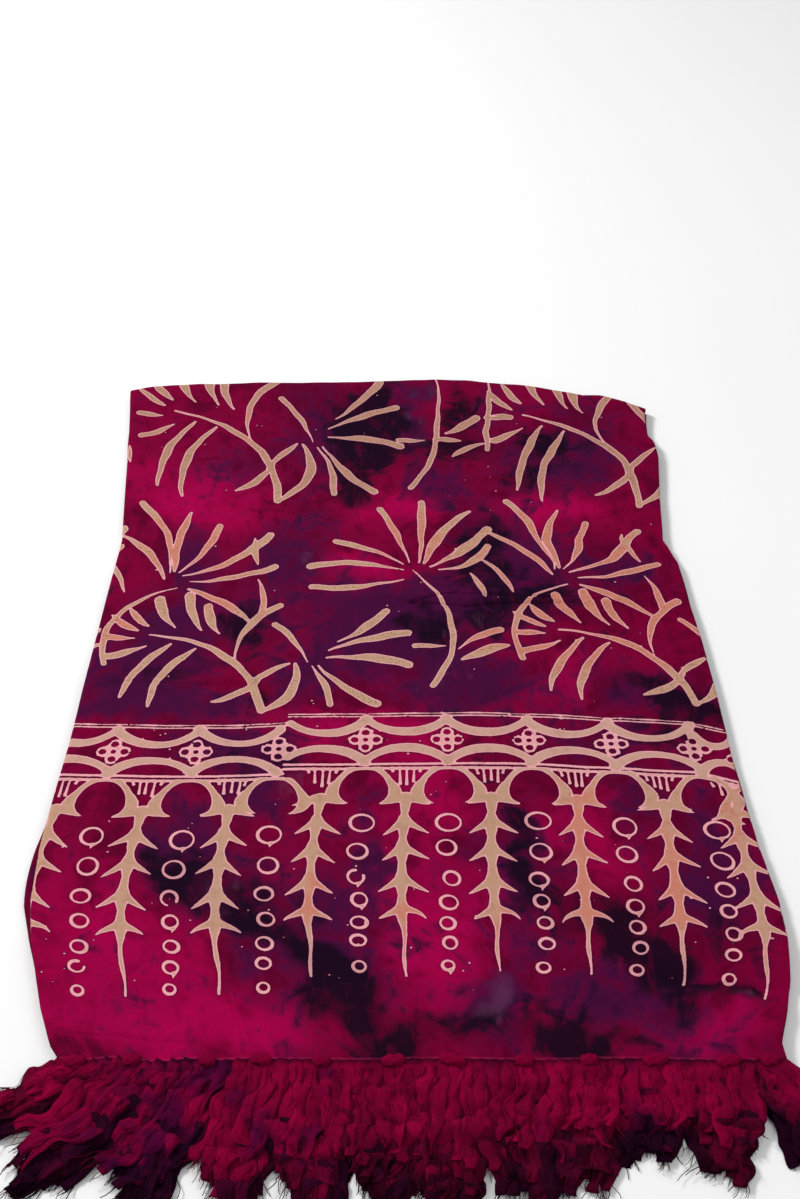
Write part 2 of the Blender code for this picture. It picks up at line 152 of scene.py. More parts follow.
# Waxed leaves of one block of the field, across and up. bow bends a leaf to its left.
Leaf = namedtuple("Leaf", "kind from_a from_s to_a to_s bow width")
LEAF_PLAIN = ("kind", "bow")
BLOCK = in_metres(Leaf, (
    ("stem", 49, 454, 163, 357, 0.18, 8), ("spindle", 71, 442, 33, 373, -0.09, 8.8),
    ("spindle", 95, 436, 60, 362, -0.12, 8.8), ("club", 48, 439, 12, 426, 0.05, 8.5),
    ("club", 35, 449, 9, 452, 0.0, 7.5), ("spindle", 37, 460, 8, 480, 0.05, 8),
    ("spindle", 46, 466, 25, 490, 0.08, 8.5), ("club", 71, 464, 52, 503, 0.06, 10.5),
    ("club", 98, 461, 80, 507, 0.05, 10.8), ("club", 115, 456, 101, 493, 0.06, 10),
    ("club", 134, 421, 172, 494, 0.16, 8.5), ("spindle", 158, 395, 117, 368, 0.1, 8.5),
    ("spindle", 151, 390, 184, 417, 0.05, 7.5), ("spindle", 190, 416, 164, 357, 0.2, 10.5),
    ("club", 202, 419, 168, 468, -0.05, 6.8), ("club", 206, 413, 224, 364, 0.06, 7.2),
    ("club", 212, 414, 267, 366, -0.07, 9), ("club", 219, 424, 296, 415, 0.06, 10.4),
    ("club", 221, 433, 296, 457, 0.05, 9.2), ("club", 229, 445, 276, 487, -0.05, 9.4),
    ("club", 293, 532, 201, 520, 0.05, 8), ("club", 293, 545, 198, 551, -0.08, 8.4),
    ("club", 293, 554, 226, 588, -0.06, 7.6), ("club", 300, 557, 274, 638, -0.04, 8),
    ("club", 309, 556, 317, 648, -0.05, 9.2), ("spindle", 315, 555, 369, 634, 0.06, 11.2),
    ("club", 320, 551, 388, 606, -0.06, 11), ("club", 329, 546, 386, 580, -0.12, 8.6),
    ("stem", 303, 545, 318, 388, 0.18, 6.4), ("club", 331, 440, 302, 439, 0.0, 7),
    ("club", 343, 437, 385, 461, 0.06, 8), ("spindle", 346, 422, 391, 440, 0.05, 11),
    ("spindle", 52, 533, -4, 598, -0.08, 8.5), ("club", 55, 541, 18, 647, -0.09, 8.6),
    ("spindle", 60, 543, 71, 632, 0.07, 10), ("club", 65, 541, 102, 611, -0.06, 8.4),
    ("club", 70, 536, 156, 598, -0.09, 9.6), ("club", 78, 528, 162, 550, -0.06, 7.8),
    ("spindle", 78, 517, 144, 470, 0.07, 9), ("stem", 66, 519, 11, 416, -0.24, 6.4),
    ("spindle", 140, 592, 144, 553, -0.05, 7.2), ("club", 146, 531, 155, 486, 0.06, 7.4),
    ("spindle", 361, 541, 374, 506, 0.08, 6.5), ("spindle", 374, 562, 403, 514, 0.05, 6.5),
), LEAF_PLAIN)

# Single strokes between the blocks of the upper row.
STROKES = in_metres(Leaf, (
    ("stem", 338, 868, 307, 672, 0.09, 6.6), ("club", 325, 752, 296, 752, 0.0, 7.2),
    ("spindle", 335, 753, 364, 751, 0.02, 8), ("club", 350, 764, 386, 791, -0.05, 11.8),
    ("spindle", 352, 724, 388, 748, 0.05, 8.2), ("stem", 397, 868, 391, 736, 0.04, 6.6),
    ("club", 404, 796, 424, 792, 0.0, 8), ("spindle", 0, 742, 2, 715, 0.0, 6),
), LEAF_PLAIN)

# Where the field's block is put down. tall stretches it lengthwise from its foot. The upper row
# leaves out the strokes from number 'until' on, which STROKES has instead.
BLOCK_FOOT = 0.357
Put = namedtuple("Put", "across base tall until")
BLOCK_PUTS = (
    Put(-0.388, 0.357, 1.0, 44),
    Put(0.000, 0.357, 1.0, 44),
    Put(0.392, 0.366, 0.98, 44),
    Put(-0.390, 0.651, 1.57, 20),
    Put(0.000, 0.651, 1.57, 20),
    Put(0.389, 0.643, 1.58, 20),
)

# The border's stamps: where each one starts and ends, its top line at both ends and how far that sags
# between, a tree's middle and the step to the next, how far a tree or a column of rings leans sideways
# for each metre down, and how far its rings are spread.
Stamp = namedtuple("Stamp", "start end line_start line_end sag tree pitch lean spread")
STAMPS = (
    Stamp(-0.020, 0.188, 0.341, 0.342, 0.0035, 0.0030, 0.0716, -0.070, 1.03),
    Stamp(0.188, 0.548, 0.3515, 0.3428, -0.0060, 0.2215, 0.0716, -0.090, 1.00),
    Stamp(0.5437, 0.590, 0.3428, 0.3290, 0.0, 0.5635, 0.0396, -0.030, 1.00),
)

# Only a stamp whose trees stand further apart than this has rings between them.
FULL_PITCH = 0.06

# A stamp from its top line down: a second line, the two lines that end the band, and the V shapes.
LINE_BELOW = 0.0032
BAND_DEPTH = 0.0600
LINE_GAP = 0.0050
V_DEPTH = 0.0300
V_HALF = 0.0157

# In the band: where its inside begins, how far its scallops lie from there, how deep they are, and
# how far down a flower is. Spots of wax fill the joints: how far each is off and its radius.
Spot = namedtuple("Spot", "off radius")
BAND_TOP = 0.0029
SCALLOP_IN = 0.0034
SCALLOP_DEEP = 0.0165
FLOWER_BELOW = 0.0318
UPPER_SPOT = Spot(0.0070, 0.0040)
UNDER_SPOT = Spot(0.0042, 0.0038)
TREE_SPOT = Spot(0.0056, 0.0054)

# Where an arch runs into a tree: how far out and below the V, and the radius of the wax there.
V_FILL = ((0.0052, 0.0022, 0.0036), (0.0088, 0.0046, 0.0034), (0.0122, 0.0060, 0.0024))

# Wax lines that come this near to each other run together. SPATTERS counts the small drops of wax,
# and NO_WAX stands for cloth without any, in millimetres outside of a line.
MERGE = 0.0020
SPATTERS = 170
NO_WAX = -3.0

# The barbs of a hanging tree: how far below the V they leave the trunk, how far out their tips lie,
# and how far they drop. The first pair lies under the horns of the arches, and the last pair opens
# like an anchor.
Barb = namedtuple("Barb", "below out drop")
BARBS = (
    Barb(0.0020, 0.0215, 0.0080),
    Barb(0.0265, 0.0185, 0.0165),
    Barb(0.0555, 0.0185, 0.0165),
    Barb(0.0885, 0.0185, 0.0165),
)
ANCHOR = Barb(0.1195, 0.0180, 0.0105)
TRUNK_BELOW = (0.006, 0.014, 0.020, 0.036, 0.046, 0.064, 0.074, 0.097, 0.107, 0.121, 0.127)
TRUNK_HALF = (0.0052, 0.0046, 0.0034, 0.0053, 0.0034, 0.0055, 0.0034, 0.0055, 0.0034, 0.0050, 0.0038)
TREE_TAIL = 0.057

# An arch's opening above and below its widest place, how far its crown is below the band, and half
# of its thickness by the degrees from its crown.
ARCH_WIDE = 0.0205
ARCH_TALL = 0.0254
ARCH_LOW = 0.0165
ARCH_BELOW = 0.0010
ARCH_TURN = (0.0, 15.0, 30.0, 45.0, 65.0, 90.0, 104.0, 122.0, 140.0)
ARCH_HALF = (0.0010, 0.0013, 0.0031, 0.0029, 0.0033, 0.0061, 0.0050, 0.0026, 0.0006)

# A flower in the band: where its petals are, and the radius of the wax and of the dyed spots.
PETALS = ((0.0092, 0.0), (-0.0092, 0.0), (0.0, 0.0084), (0.0, -0.0084))
PETAL_WAX = 0.0063
PETAL_DYED = 0.0031
FLOWER_WAX = 0.0056
FLOWER_DYED = 0.0021

# The drips inside a V: how many, where the first one is, how far apart, and their usual length.
DRIPS = 5
FIRST_DRIP = -0.0124
DRIP_PITCH = 0.0062
DRIP_LENGTH = 0.0180

# Rings under the band: how far below the top line, and how wide. One is open, or drips, where its
# unevenness is above these values. A column of them stands a little right of its arch, and leans
# from this far below the top line.
RING_OPENS = 0.93
RING_DRIPS = 0.82
RINGS_RIGHT = 0.003
RINGS_LEAN_FROM = 0.09
Ring = namedtuple("Ring", "below radius")
RINGS = (
    Ring(0.1245, 0.0094),
    Ring(0.1545, 0.0082),
    Ring(0.1845, 0.0068),
    Ring(0.2075, 0.0063),
    Ring(0.2295, 0.0058),
    Ring(0.2475, 0.0055),
    Ring(0.2685, 0.0046),
)

# Patches of each dye, across and up the cloth, with their half sizes, the degrees by which they are
# turned, and their depth.
Patch = namedtuple("Patch", "across up wide tall turn depth")
PATCH_PLAIN = ("turn", "depth")
DYES = {
    "navy": (
        (252, 750, 40, 85, 0, 1.0), (280, 790, 35, 50, 0, 0.9), (240, 665, 16, 34, 25, 0.85),
        (345, 735, 35, 35, 0, 0.7), (366, 800, 18, 60, 0, 0.75), (460, 742, 40, 34, -20, 0.8),
        (430, 690, 20, 22, 0, 0.6), (388, 588, 26, 45, -15, 0.85), (412, 512, 32, 28, 0, 0.85),
        (470, 490, 50, 30, 0, 0.45), (312, 468, 38, 26, 0, 0.9), (134, 462, 28, 34, 0, 0.9),
        (60, 405, 40, 22, 0, 0.45), (155, 385, 16, 32, 0, 0.85), (545, 372, 32, 22, -30, 0.9),
        (510, 392, 35, 16, 0, 0.65), (535, 330, 40, 30, 0, 0.6), (160, 300, 50, 24, 0, 0.55),
        (375, 300, 40, 30, 0, 0.45), (108, 175, 30, 26, -35, 0.85), (165, 135, 40, 30, -40, 0.85),
        (215, 95, 42, 22, -50, 1.0), (238, 45, 30, 24, -50, 1.0), (262, 8, 24, 14, 0, 1.0),
        (382, 200, 22, 55, 0, 0.8), (415, 135, 22, 24, 0, 0.6), (455, 112, 28, 28, -30, 1.0),
        (485, 78, 22, 24, -40, 0.95), (525, 56, 45, 9, 5, 0.7), (400, 22, 38, 24, -20, 1.0),
        (440, 10, 36, 10, 0, 0.6), (530, 110, 28, 34, 0, 0.45), (335, 35, 18, 22, 0, 0.45),
        (375, 475, 40, 30, 0, 0.6), (365, 545, 30, 40, 0, 0.45), (300, 20, 60, 14, 10, 0.5),
    ),
    "plum": (
        (310, 795, 22, 75, 0, 0.9), (230, 790, 50, 80, 0, 0.6), (470, 715, 75, 50, 0, 0.7),
        (340, 680, 40, 40, 0, 0.6), (400, 800, 30, 60, 0, 0.5), (170, 560, 45, 55, 0, 0.7),
        (75, 560, 28, 50, 0, 0.8), (215, 610, 40, 40, 0, 0.45), (405, 560, 60, 85, 0, 0.85),
        (510, 555, 45, 40, 0, 0.6), (300, 480, 70, 45, 0, 0.8), (250, 500, 50, 35, 0, 0.6),
        (100, 470, 80, 45, 0, 0.8), (40, 410, 60, 45, 0, 0.85), (80, 366, 100, 18, 0, 0.8),
        (200, 395, 30, 30, 0, 0.7), (360, 392, 70, 42, 0, 0.9), (520, 380, 60, 35, 0, 0.7),
        (140, 315, 60, 30, 0, 0.9), (165, 265, 34, 34, 0, 0.95), (470, 315, 60, 26, 0, 0.6),
        (110, 200, 40, 50, 0, 0.8), (200, 110, 80, 55, -40, 0.8), (240, 165, 30, 50, 0, 0.5),
        (380, 190, 38, 80, 0, 0.7), (455, 55, 80, 45, -20, 0.7), (525, 165, 50, 60, 0, 0.65),
        (350, 50, 30, 45, 0, 0.8), (65, 45, 30, 24, 0, 0.4), (270, 440, 90, 60, 0, 0.6),
        (370, 500, 70, 40, 0, 0.6), (220, 730, 60, 60, 0, 0.4), (105, 700, 40, 50, 0, 0.4),
        (500, 780, 60, 50, 0, 0.35), (540, 250, 30, 80, 0, 0.45), (265, 215, 18, 70, 0, 0.6),
        (480, 250, 24, 40, 0, 0.5),
    ),
    "haze": (
        (318, 800, 16, 70, 0, 0.6), (200, 570, 26, 30, 30, 0.55), (355, 470, 30, 22, 0, 0.35),
        (330, 400, 40, 26, 20, 0.45), (195, 268, 20, 16, 0, 0.8), (150, 155, 20, 30, 20, 0.6),
        (352, 60, 18, 34, -15, 0.9), (535, 52, 45, 8, 0, 0.5), (440, 600, 30, 40, 0, 0.35),
    ),
    "bright": (
        (80, 660, 100, 60, 0, 0.6), (290, 640, 60, 30, 0, 0.8), (450, 640, 60, 22, 0, 0.8),
        (250, 545, 50, 24, 0, 0.7), (250, 400, 60, 30, 0, 0.4), (440, 400, 40, 30, 0, 0.6),
        (300, 280, 60, 120, 0, 0.5), (60, 100, 90, 90, 0, 0.6), (110, 30, 110, 30, 0, 0.75),
        (310, 110, 50, 80, 0, 0.7), (440, 220, 40, 60, 0, 0.5), (510, 25, 50, 20, 0, 0.7),
        (250, 340, 80, 20, 0, 0.5),
    ),
    "warm": (
        (295, 125, 22, 35, 0, 1.0), (220, 145, 24, 30, 0, 0.8), (435, 190, 34, 80, 0, 0.85),
        (505, 160, 40, 75, 0, 0.75), (315, 600, 36, 50, 0, 0.55), (285, 590, 24, 50, 0, 0.6),
        (470, 555, 95, 95, 0, 0.85), (75, 585, 75, 65, 0, 0.7), (120, 505, 50, 24, 0, 0.6),
        (25, 460, 30, 30, 0, 0.9), (480, 440, 80, 50, 0, 0.75), (560, 500, 40, 50, 0, 0.9),
        (375, 450, 26, 20, 0, 0.5), (130, 780, 34, 60, 0, 0.3), (560, 230, 30, 60, 0, 0.35),
        (365, 130, 20, 50, 0, 0.55),
    ),
}

# Hidden layers: the height of the upper side at the fold and at the selvages, how far the layer comes
# out at the selvages and at the hem, and where its waves begin.
Layer = namedtuple("Layer", "name fold_level selvage_level out near phase")
HIDDEN_LAYERS = (
    Layer("cloth_second", 0.0050, 0.0064, -0.0008, 0.0012, 0.7),
    Layer("cloth_third", 0.0043, 0.0036, 0.0010, -0.0006, 2.9),
    Layer("cloth_bottom", 0.0009, 0.0010, -0.0002, 0.0008, 5.1),
)


def column(table, name):
    return np.array([getattr(row, name) for row in table], float)


def smooth(low, high, x):
    t = np.clip((x - low) / (high - low), 0.0, 1.0)
    return t * t * (3.0 - 2.0 * t)


def uneven(number):
    """A small unevenness that is the same each time."""
    return math.sin(12.9 * number + 4.1 * math.sin(3.7 * number))


def rolling(x, y, scale, seed):
    """Soft hills and hollows between -1 and 1, the same ones each time."""
    total = np.zeros(np.broadcast(x, y).shape)
    dice = np.random.default_rng(seed)
    for _ in range(9):
        way = dice.uniform(0.0, 2.0 * math.pi)
        size = scale * dice.uniform(0.7, 1.5)
        total += np.sin((x * math.cos(way) + y * math.sin(way)) / size * 2.0 * math.pi
                        + dice.uniform(0.0, 2.0 * math.pi))
    return total / 4.5


def hem_line(x):
    """How far the hem wavers, with small gathers near its left end."""
    gather = 1.0 / (1.0 + np.exp((x + 0.13) / 0.02))
    return 0.0006 * np.sin(x / 0.021) + 0.0014 * gather * np.sin(x / 0.0085 + 0.6)


def wander(crease, along, sway):
    """How far aside of its straight line a crease runs."""
    return sway * np.sin(along / 0.017 + crease.from_x * 90.0)


def crease_rise(x, y, creases, sway):
    """How far creases lift or sink the cloth."""
    rise = np.zeros(np.broadcast(x, y).shape)
    for crease in creases:
        run_x = crease.to_x - crease.from_x
        run_y = crease.to_y - crease.from_y
        length = math.hypot(run_x, run_y)
        along = ((x - crease.from_x) * run_x + (y - crease.from_y) * run_y) / length
        aside = ((x - crease.from_x) * run_y - (y - crease.from_y) * run_x) / length
        aside = aside + wander(crease, along, sway)
        past = np.maximum(0.0, np.maximum(-along, along - length))
        fade = (aside / crease.width) ** 2 + (past / (2.5 * crease.width)) ** 2
        rise = rise + crease.rise * np.exp(-fade)
    return rise


def hump(x, middle, width):
    """A soft hump, 1 at its middle."""
    return np.exp(-((x - middle) / width) ** 2)


def pile_height(x, y):
    """Height of the top of the pile: puffy at the folds, thinner at the selvages, and creased."""
    high = STACK + 0.0012 * hump(y, 0.845, 0.040)
    high = high + 0.0007 * hump(x, -0.285, 0.035)
    high = high - 0.0007 * hump(x, 0.285, 0.050)
    high = high + 0.0005 * hump(y, 0.014, 0.018)
    high = high + 0.0003 * np.sin(x / 0.055 + y / 0.12) * np.sin(y / 0.074 + 0.8)
    high = high + 0.00040 * rolling(x, y, 0.075, 3) + 0.00016 * rolling(x, y, 0.024, 4)
    return high + crease_rise(x, y, CREASES, CREASE_SWAY) + crease_rise(x, y, WRINKLES, WRINKLE_SWAY)


def sides_at(y):
    """Where the left fold and the right selvages lie, this far from the hem."""
    far = column(SIDES, "far")
    left = np.interp(y, far, column(SIDES, "left")) + LEFT_ROLL
    return left, np.interp(y, far, column(SIDES, "right"))


def wrinkle_places():
    """Points on and beside each fine wrinkle, as places on the flat cloth."""
    places = []
    for crease in WRINKLES:
        run = np.array([crease.to_x - crease.from_x, crease.to_y - crease.from_y])
        length = float(np.hypot(*run))
        along = np.linspace(-WRINKLE_PAST, length + WRINKLE_PAST, int(length / WRINKLE_STEP) + 3)
        way = run / length
        middle = np.array([crease.from_x, crease.from_y]) + along[:, None] * way
        sway = wander(crease, along, WRINKLE_SWAY)
        for offset in WRINKLE_ASIDE:
            aside = (sway + offset * crease.width)[:, None]
            places.append(middle + aside * np.array([-way[1], way[0]]))
    places = np.concatenate(places)
    left, right = sides_at(places[:, 1])
    return np.stack([(places[:, 0] - left) / (right - left) * CLOTH_WIDTH, places[:, 1]], axis=1)


def far_line(a):
    """How far from the hem the far fold starts to turn, at each place across the cloth."""
    x = np.interp(a / CLOTH_WIDTH, [0.0, 1.0], FAR_ENDS)
    return np.interp(x, column(FAR_FOLD, "across"), column(FAR_FOLD, "far")) - FAR_ROLL


def turned_edge(past, radius):
    """Outward shift and depth of cloth that has gone this far past an edge and turns under it."""
    angle = np.clip(past / radius, 0.0, math.pi)
    beyond = np.maximum(past - math.pi * radius, 0.0)
    return radius * np.sin(angle) - beyond, radius * (1.0 - np.cos(angle))


def lay_top(a, s):
    """Where the top layer's cloth lies: a across from the side fold, s up from the hem."""
    fold = far_line(a)
    y = np.clip(s, 0.0, fold)
    left, right = sides_at(y)
    x = left + (right - left) * np.clip(a, 0.0, CLOTH_WIDTH) / CLOTH_WIDTH
    high = pile_height(x, y) + CLEAR
    fold_out, fold_deep = turned_edge(np.maximum(-a, 0.0), LEFT_ROLL)
    edge_out, edge_deep = turned_edge(np.maximum(a - CLOTH_WIDTH, 0.0), SELVAGE_ROLL)
    hem_out, hem_deep = turned_edge(np.maximum(-s, 0.0), SELVAGE_ROLL)
    deep = fold_deep + edge_deep + hem_deep
    y = y - hem_out + hem_line(x) * np.exp(-y / HEM_REACH)
    angle = np.clip((s - fold) / FAR_ROLL, 0.0, math.pi)
    outer = high / 2.0 - CLEAR
    reach = np.maximum(outer - deep, LOWEST)
    rolled = angle > 0.0
    z = np.where(rolled, CLEAR + outer + reach * np.cos(angle), high - deep)
    y = np.where(rolled, y + reach * np.sin(angle), y)
    x = x - fold_out + edge_out
    return np.stack([x - MIDDLE_X, y - MIDDLE_Y, z], axis=-1)


class WaxPen:
    """The waxed lines, as paths with a half width at each point, and the bare spots left in them."""

    def __init__(self):
        self.lines = []
        self.bare = []

    def draw(self, path, half, bare=False):
        path = np.array(path, float)
        half = np.broadcast_to(np.array(half, float), (len(path),))
        (self.bare if bare else self.lines).append((path, half))

    def leaf(self, leaf, put):
        """One leaf or stem, bowed, with the width of a hand-drawn wax line."""
        start = np.array([leaf.from_a, (leaf.from_s - BLOCK_FOOT) * put.tall])
        end = np.array([leaf.to_a, (leaf.to_s - BLOCK_FOOT) * put.tall])
        run = end - start
        length = float(np.hypot(*run))
        t = np.linspace(0.0, 1.0, max(7, int(length / 0.0026)))
        side = np.array([-run[1], run[0]])
        path = start + run * t[:, None] + side * (leaf.bow * 4.0 * t * (1.0 - t))[:, None]
        number = leaf.from_a * 37.0 + leaf.to_s * 91.0 + put.across * 13.0 + put.tall
        wobble = 0.0006 * np.sin(t * length / 0.011 + number)
        wobble = wobble + 0.0004 * np.sin(t * length / 0.0047 + 2.0 * number)
        path = path + side / length * wobble[:, None]
        if leaf.kind == "stem":
            shape = 0.34 + 0.66 * smooth(0.0, 0.50, t)
        elif leaf.kind == "club":
            shape = 0.24 + 0.76 * smooth(-0.05, 0.62, t)
        else:
            shape = 0.16 + 0.84 * np.sin(math.pi * (0.04 + 0.92 * t)) ** 0.75
        shape = shape * (1.0 + 0.10 * np.sin(t * length / 0.009 + 3.0 * number))
        wide = leaf.width * (1.0 + 0.12 * (put.tall - 1.0))
        self.draw(path + np.array([put.across, put.base]), wide / 2.0 * shape)

    def spot(self, a, s, radius, bare=False):
        self.draw([(a - 0.0002, s), (a + 0.0002, s)], radius, bare)


def draw_tree(pen, a, top, lean, number):
    """One hanging tree of the border, from the point of its V down to the tip of its tail."""
    sway = lean + 0.012 * uneven(number + 3)
    down = np.linspace(TRUNK_BELOW[0], TRUNK_BELOW[-1], 44)
    half = np.interp(down, TRUNK_BELOW, TRUNK_HALF) * (1.0 + 0.06 * uneven(number))
    pen.draw(np.stack([a + sway * down, top - down], axis=1), half)
    t = np.linspace(0.0, 1.0, 13)
    for side in (-1.0, 1.0):
        for k, barb in enumerate(BARBS):
            out = side * barb.out * (1.0 + 0.10 * uneven(number * 7 + k + side))
            drop = barb.drop * (1.0 + 0.12 * uneven(number * 3 + 2 * k + side))
            middle = a + sway * barb.below
            path = np.stack([middle + out * t, top - barb.below - drop * t ** 0.78], axis=1)
            pen.draw(path, 0.0008 + 0.0038 * (1.0 - t) ** 0.9)
        out = side * ANCHOR.out * (1.0 + 0.08 * uneven(number * 5 + side))
        hook = 0.30 + 0.25 * uneven(number * 9 + side)
        drop = (1.0 - hook) * t ** 0.85 + hook * t ** 5
        middle = a + sway * ANCHOR.below
        path = np.stack([middle + out * t, top - ANCHOR.below - ANCHOR.drop * drop], axis=1)
        pen.draw(path, 0.0009 + 0.0037 * (1.0 - t) ** 0.9)
    tail = TREE_TAIL * (1.0 + 0.08 * uneven(number + 11))
    t = np.linspace(0.0, 1.0, 26)
    wave = 0.0008 * np.sin(t * 7.0 + number)
    start = a + sway * TRUNK_BELOW[-1]
    path = np.stack([start + wave + sway * 0.4 * tail * t, top - TRUNK_BELOW[-1] - tail * t], axis=1)
    half = 0.0042 - 0.0016 * smooth(0.0, 0.25, t) - 0.0014 * t + 0.0003 * np.sin(t * 11.0 + number)
    pen.draw(path, half)


def draw_flower(pen, a, s):
    """A four-petalled flower: wax round five dyed spots."""
    for out_a, out_s in PETALS:
        pen.spot(a + out_a, s + out_s, PETAL_WAX)
        pen.spot(a + out_a * 1.04, s + out_s * 1.04, PETAL_DYED, bare=True)
    pen.spot(a, s, FLOWER_WAX)
    pen.spot(a, s, FLOWER_DYED, bare=True)


def draw_arch(pen, a, top):
    """One arch between two trees: thin at its crown, thick down the sides of a V, and ending in horns."""
    turn = np.radians(np.linspace(-ARCH_TURN[-1], ARCH_TURN[-1], 64))
    half = np.interp(np.degrees(np.abs(turn)), ARCH_TURN, ARCH_HALF)
    tall = np.where(np.cos(turn) > 0.0, ARCH_TALL, ARCH_LOW)
    way = np.stack([np.sin(turn) / ARCH_WIDE, np.cos(turn) / tall], axis=1)
    way = way / np.hypot(way[:, 0], way[:, 1])[:, None]
    inner = np.stack([ARCH_WIDE * np.sin(turn), tall * np.cos(turn) - ARCH_TALL - ARCH_BELOW], axis=1)
    pen.draw(np.array([a, top]) + inner + way * half[:, None], half)


def draw_drips(pen, a, top, tag):
    """The wax drips inside a V, longest at its middle."""
    for d in range(DRIPS):
        off = FIRST_DRIP + DRIP_PITCH * d + 0.0007 * uneven(tag + d)
        room = (1.0 - abs(off) / V_HALF) * V_DEPTH - 0.0012
        long = min(DRIP_LENGTH + 0.0045 * uneven(tag * 3 + d), room)
        t = np.linspace(0.0, 1.0, 7)
        path = np.stack([a + off * (1.0 - 0.12 * t), top - long * t], axis=1)
        pen.draw(path, 0.0011 + 0.0006 * t ** 2)


def draw_stamp(pen, stamp, number):
    """One stamp of the border: its lines, scallops, flowers, V shapes, trees and columns of rings."""
    def line_at(a):
        share = min(max((a - stamp.start) / (stamp.end - stamp.start), 0.0), 1.0)
        straight = stamp.line_start + (stamp.line_end - stamp.line_start) * share
        return straight - stamp.sag * math.sin(math.pi * share)

    across = np.linspace(stamp.start, stamp.end, max(10, int((stamp.end - stamp.start) / 0.0026)))
    sway = 0.0006 * np.sin(across / 0.031 + number * 2.0)
    line = np.array([line_at(a) for a in across]) + sway
    broken = 1.0 + 0.4 * np.sin(across / 0.0061) * np.sin(across / 0.013)
    low = line - BAND_DEPTH
    pen.draw(np.stack([across, line], axis=1), 0.0009 * broken)
    pen.draw(np.stack([across, line - LINE_BELOW], axis=1), 0.0010)
    pen.draw(np.stack([across, low], axis=1), 0.0015)
    pen.draw(np.stack([across, low - LINE_GAP], axis=1), 0.0017)
    pitch = stamp.pitch
    first = stamp.tree - pitch * math.ceil((stamp.tree - stamp.start) / pitch)
    t = np.linspace(-1.0, 1.0, 32)
    for k in range(int((stamp.end - stamp.start) / pitch) + 2):
        a = first + k * pitch
        tag = number * 10 + k
        if stamp.start - 0.5 * pitch < a < stamp.end + 0.02:
            upper, under = line_at(a) - BAND_TOP, line_at(a) - BAND_DEPTH
            thick = 0.0046 + 0.0007 * np.cos(2.2 * t + tag)
            bowl = SCALLOP_DEEP * (1.0 - np.abs(t) ** 2.2) ** 0.9
            for height in (upper - SCALLOP_IN - bowl, under + SCALLOP_IN + bowl * 0.92):
                path = np.stack([a + pitch / 2.0 * t, height], axis=1)
                inside = (path[:, 0] > stamp.start + 0.001) & (path[:, 0] < stamp.end - 0.001)
                if inside.sum() > 4:
                    pen.draw(path[inside], thick[inside])
        joint = a + pitch / 2.0
        if stamp.start + 0.004 < joint < stamp.end + 0.004:
            upper, under = line_at(joint), line_at(joint) - BAND_DEPTH
            draw_flower(pen, joint, upper - FLOWER_BELOW)
            pen.spot(joint, upper - UPPER_SPOT.off, UPPER_SPOT.radius)
            pen.spot(joint, under + UNDER_SPOT.off, UNDER_SPOT.radius)
            draw_arch(pen, joint, under - LINE_GAP)
            for n, ring in enumerate(RINGS if pitch > FULL_PITCH else ()):
                s = upper - ring.below * stamp.spread
                draw_ring(pen, joint + RINGS_RIGHT, s, ring, stamp.lean, tag * 11 + n)
        if stamp.start - 0.008 < a < stamp.end:
            under = line_at(a) - BAND_DEPTH - LINE_GAP
            draw_drips(pen, a, under, tag)
            pen.spot(a, under - V_DEPTH - TREE_SPOT.off, TREE_SPOT.radius)
            for out, below, radius in V_FILL:
                pen.spot(a - out, under - V_DEPTH - below, radius)
                pen.spot(a + out, under - V_DEPTH - below, radius)
            draw_tree(pen, a, under - V_DEPTH, stamp.lean, tag)


def draw_ring(pen, a, s, ring, lean, tag):
    """One wax ring, a little uneven, and now and then open or dripping."""
    wide = ring.radius * (1.0 + 0.08 * uneven(tag))
    tall = ring.radius * (1.0 + 0.06 * uneven(tag + 8))
    leant = lean * (ring.below - RINGS_LEAN_FROM)
    middle = (a + 0.0020 * uneven(tag + 1) + leant, s + 0.0018 * uneven(tag + 2))
    gap = 1.3 if uneven(tag * 3) > RING_OPENS else -0.15
    first = 2.5 * uneven(tag + 4)
    turn = np.linspace(first, first + 2.0 * math.pi - gap, max(18, int(6.3 * ring.radius / 0.0017)))
    half = 0.00110 + 0.00055 * np.sin(turn * 0.5 + 2.0 * tag) ** 2
    pen.draw(np.stack([middle[0] + wide * np.cos(turn), middle[1] + tall * np.sin(turn)], axis=1), half)
    if uneven(tag * 5) > RING_DRIPS:
        t = np.linspace(0.0, 1.0, 4)[:, None]
        start = np.array([middle[0] + 0.002, middle[1] - tall])
        end = np.array([middle[0] + 0.001, middle[1] - tall - 0.0035])
        pen.draw(start + (end - start) * t, 0.0018 - 0.0010 * t[:, 0])


def draw_print():
    """All of the wax on the cloth that shows."""
    pen = WaxPen()
    for put in BLOCK_PUTS:
        for leaf in BLOCK[:put.until]:
            pen.leaf(leaf, put)
    for leaf in STROKES:
        pen.leaf(leaf, Put(0.0, BLOCK_FOOT, 1.0, 0))
    for number, stamp in enumerate(STAMPS):
        draw_stamp(pen, stamp, number)
    dice = np.random.default_rng(11)
    for _ in range(SPATTERS):
        a, s = dice.uniform(0.0, CLOTH_WIDTH), dice.uniform(0.06, 0.36)
        if dice.uniform() < 0.35:
            s = dice.uniform(0.36, 0.84)
        pen.spot(a, s, dice.uniform(0.0003, 0.0011))
    return pen


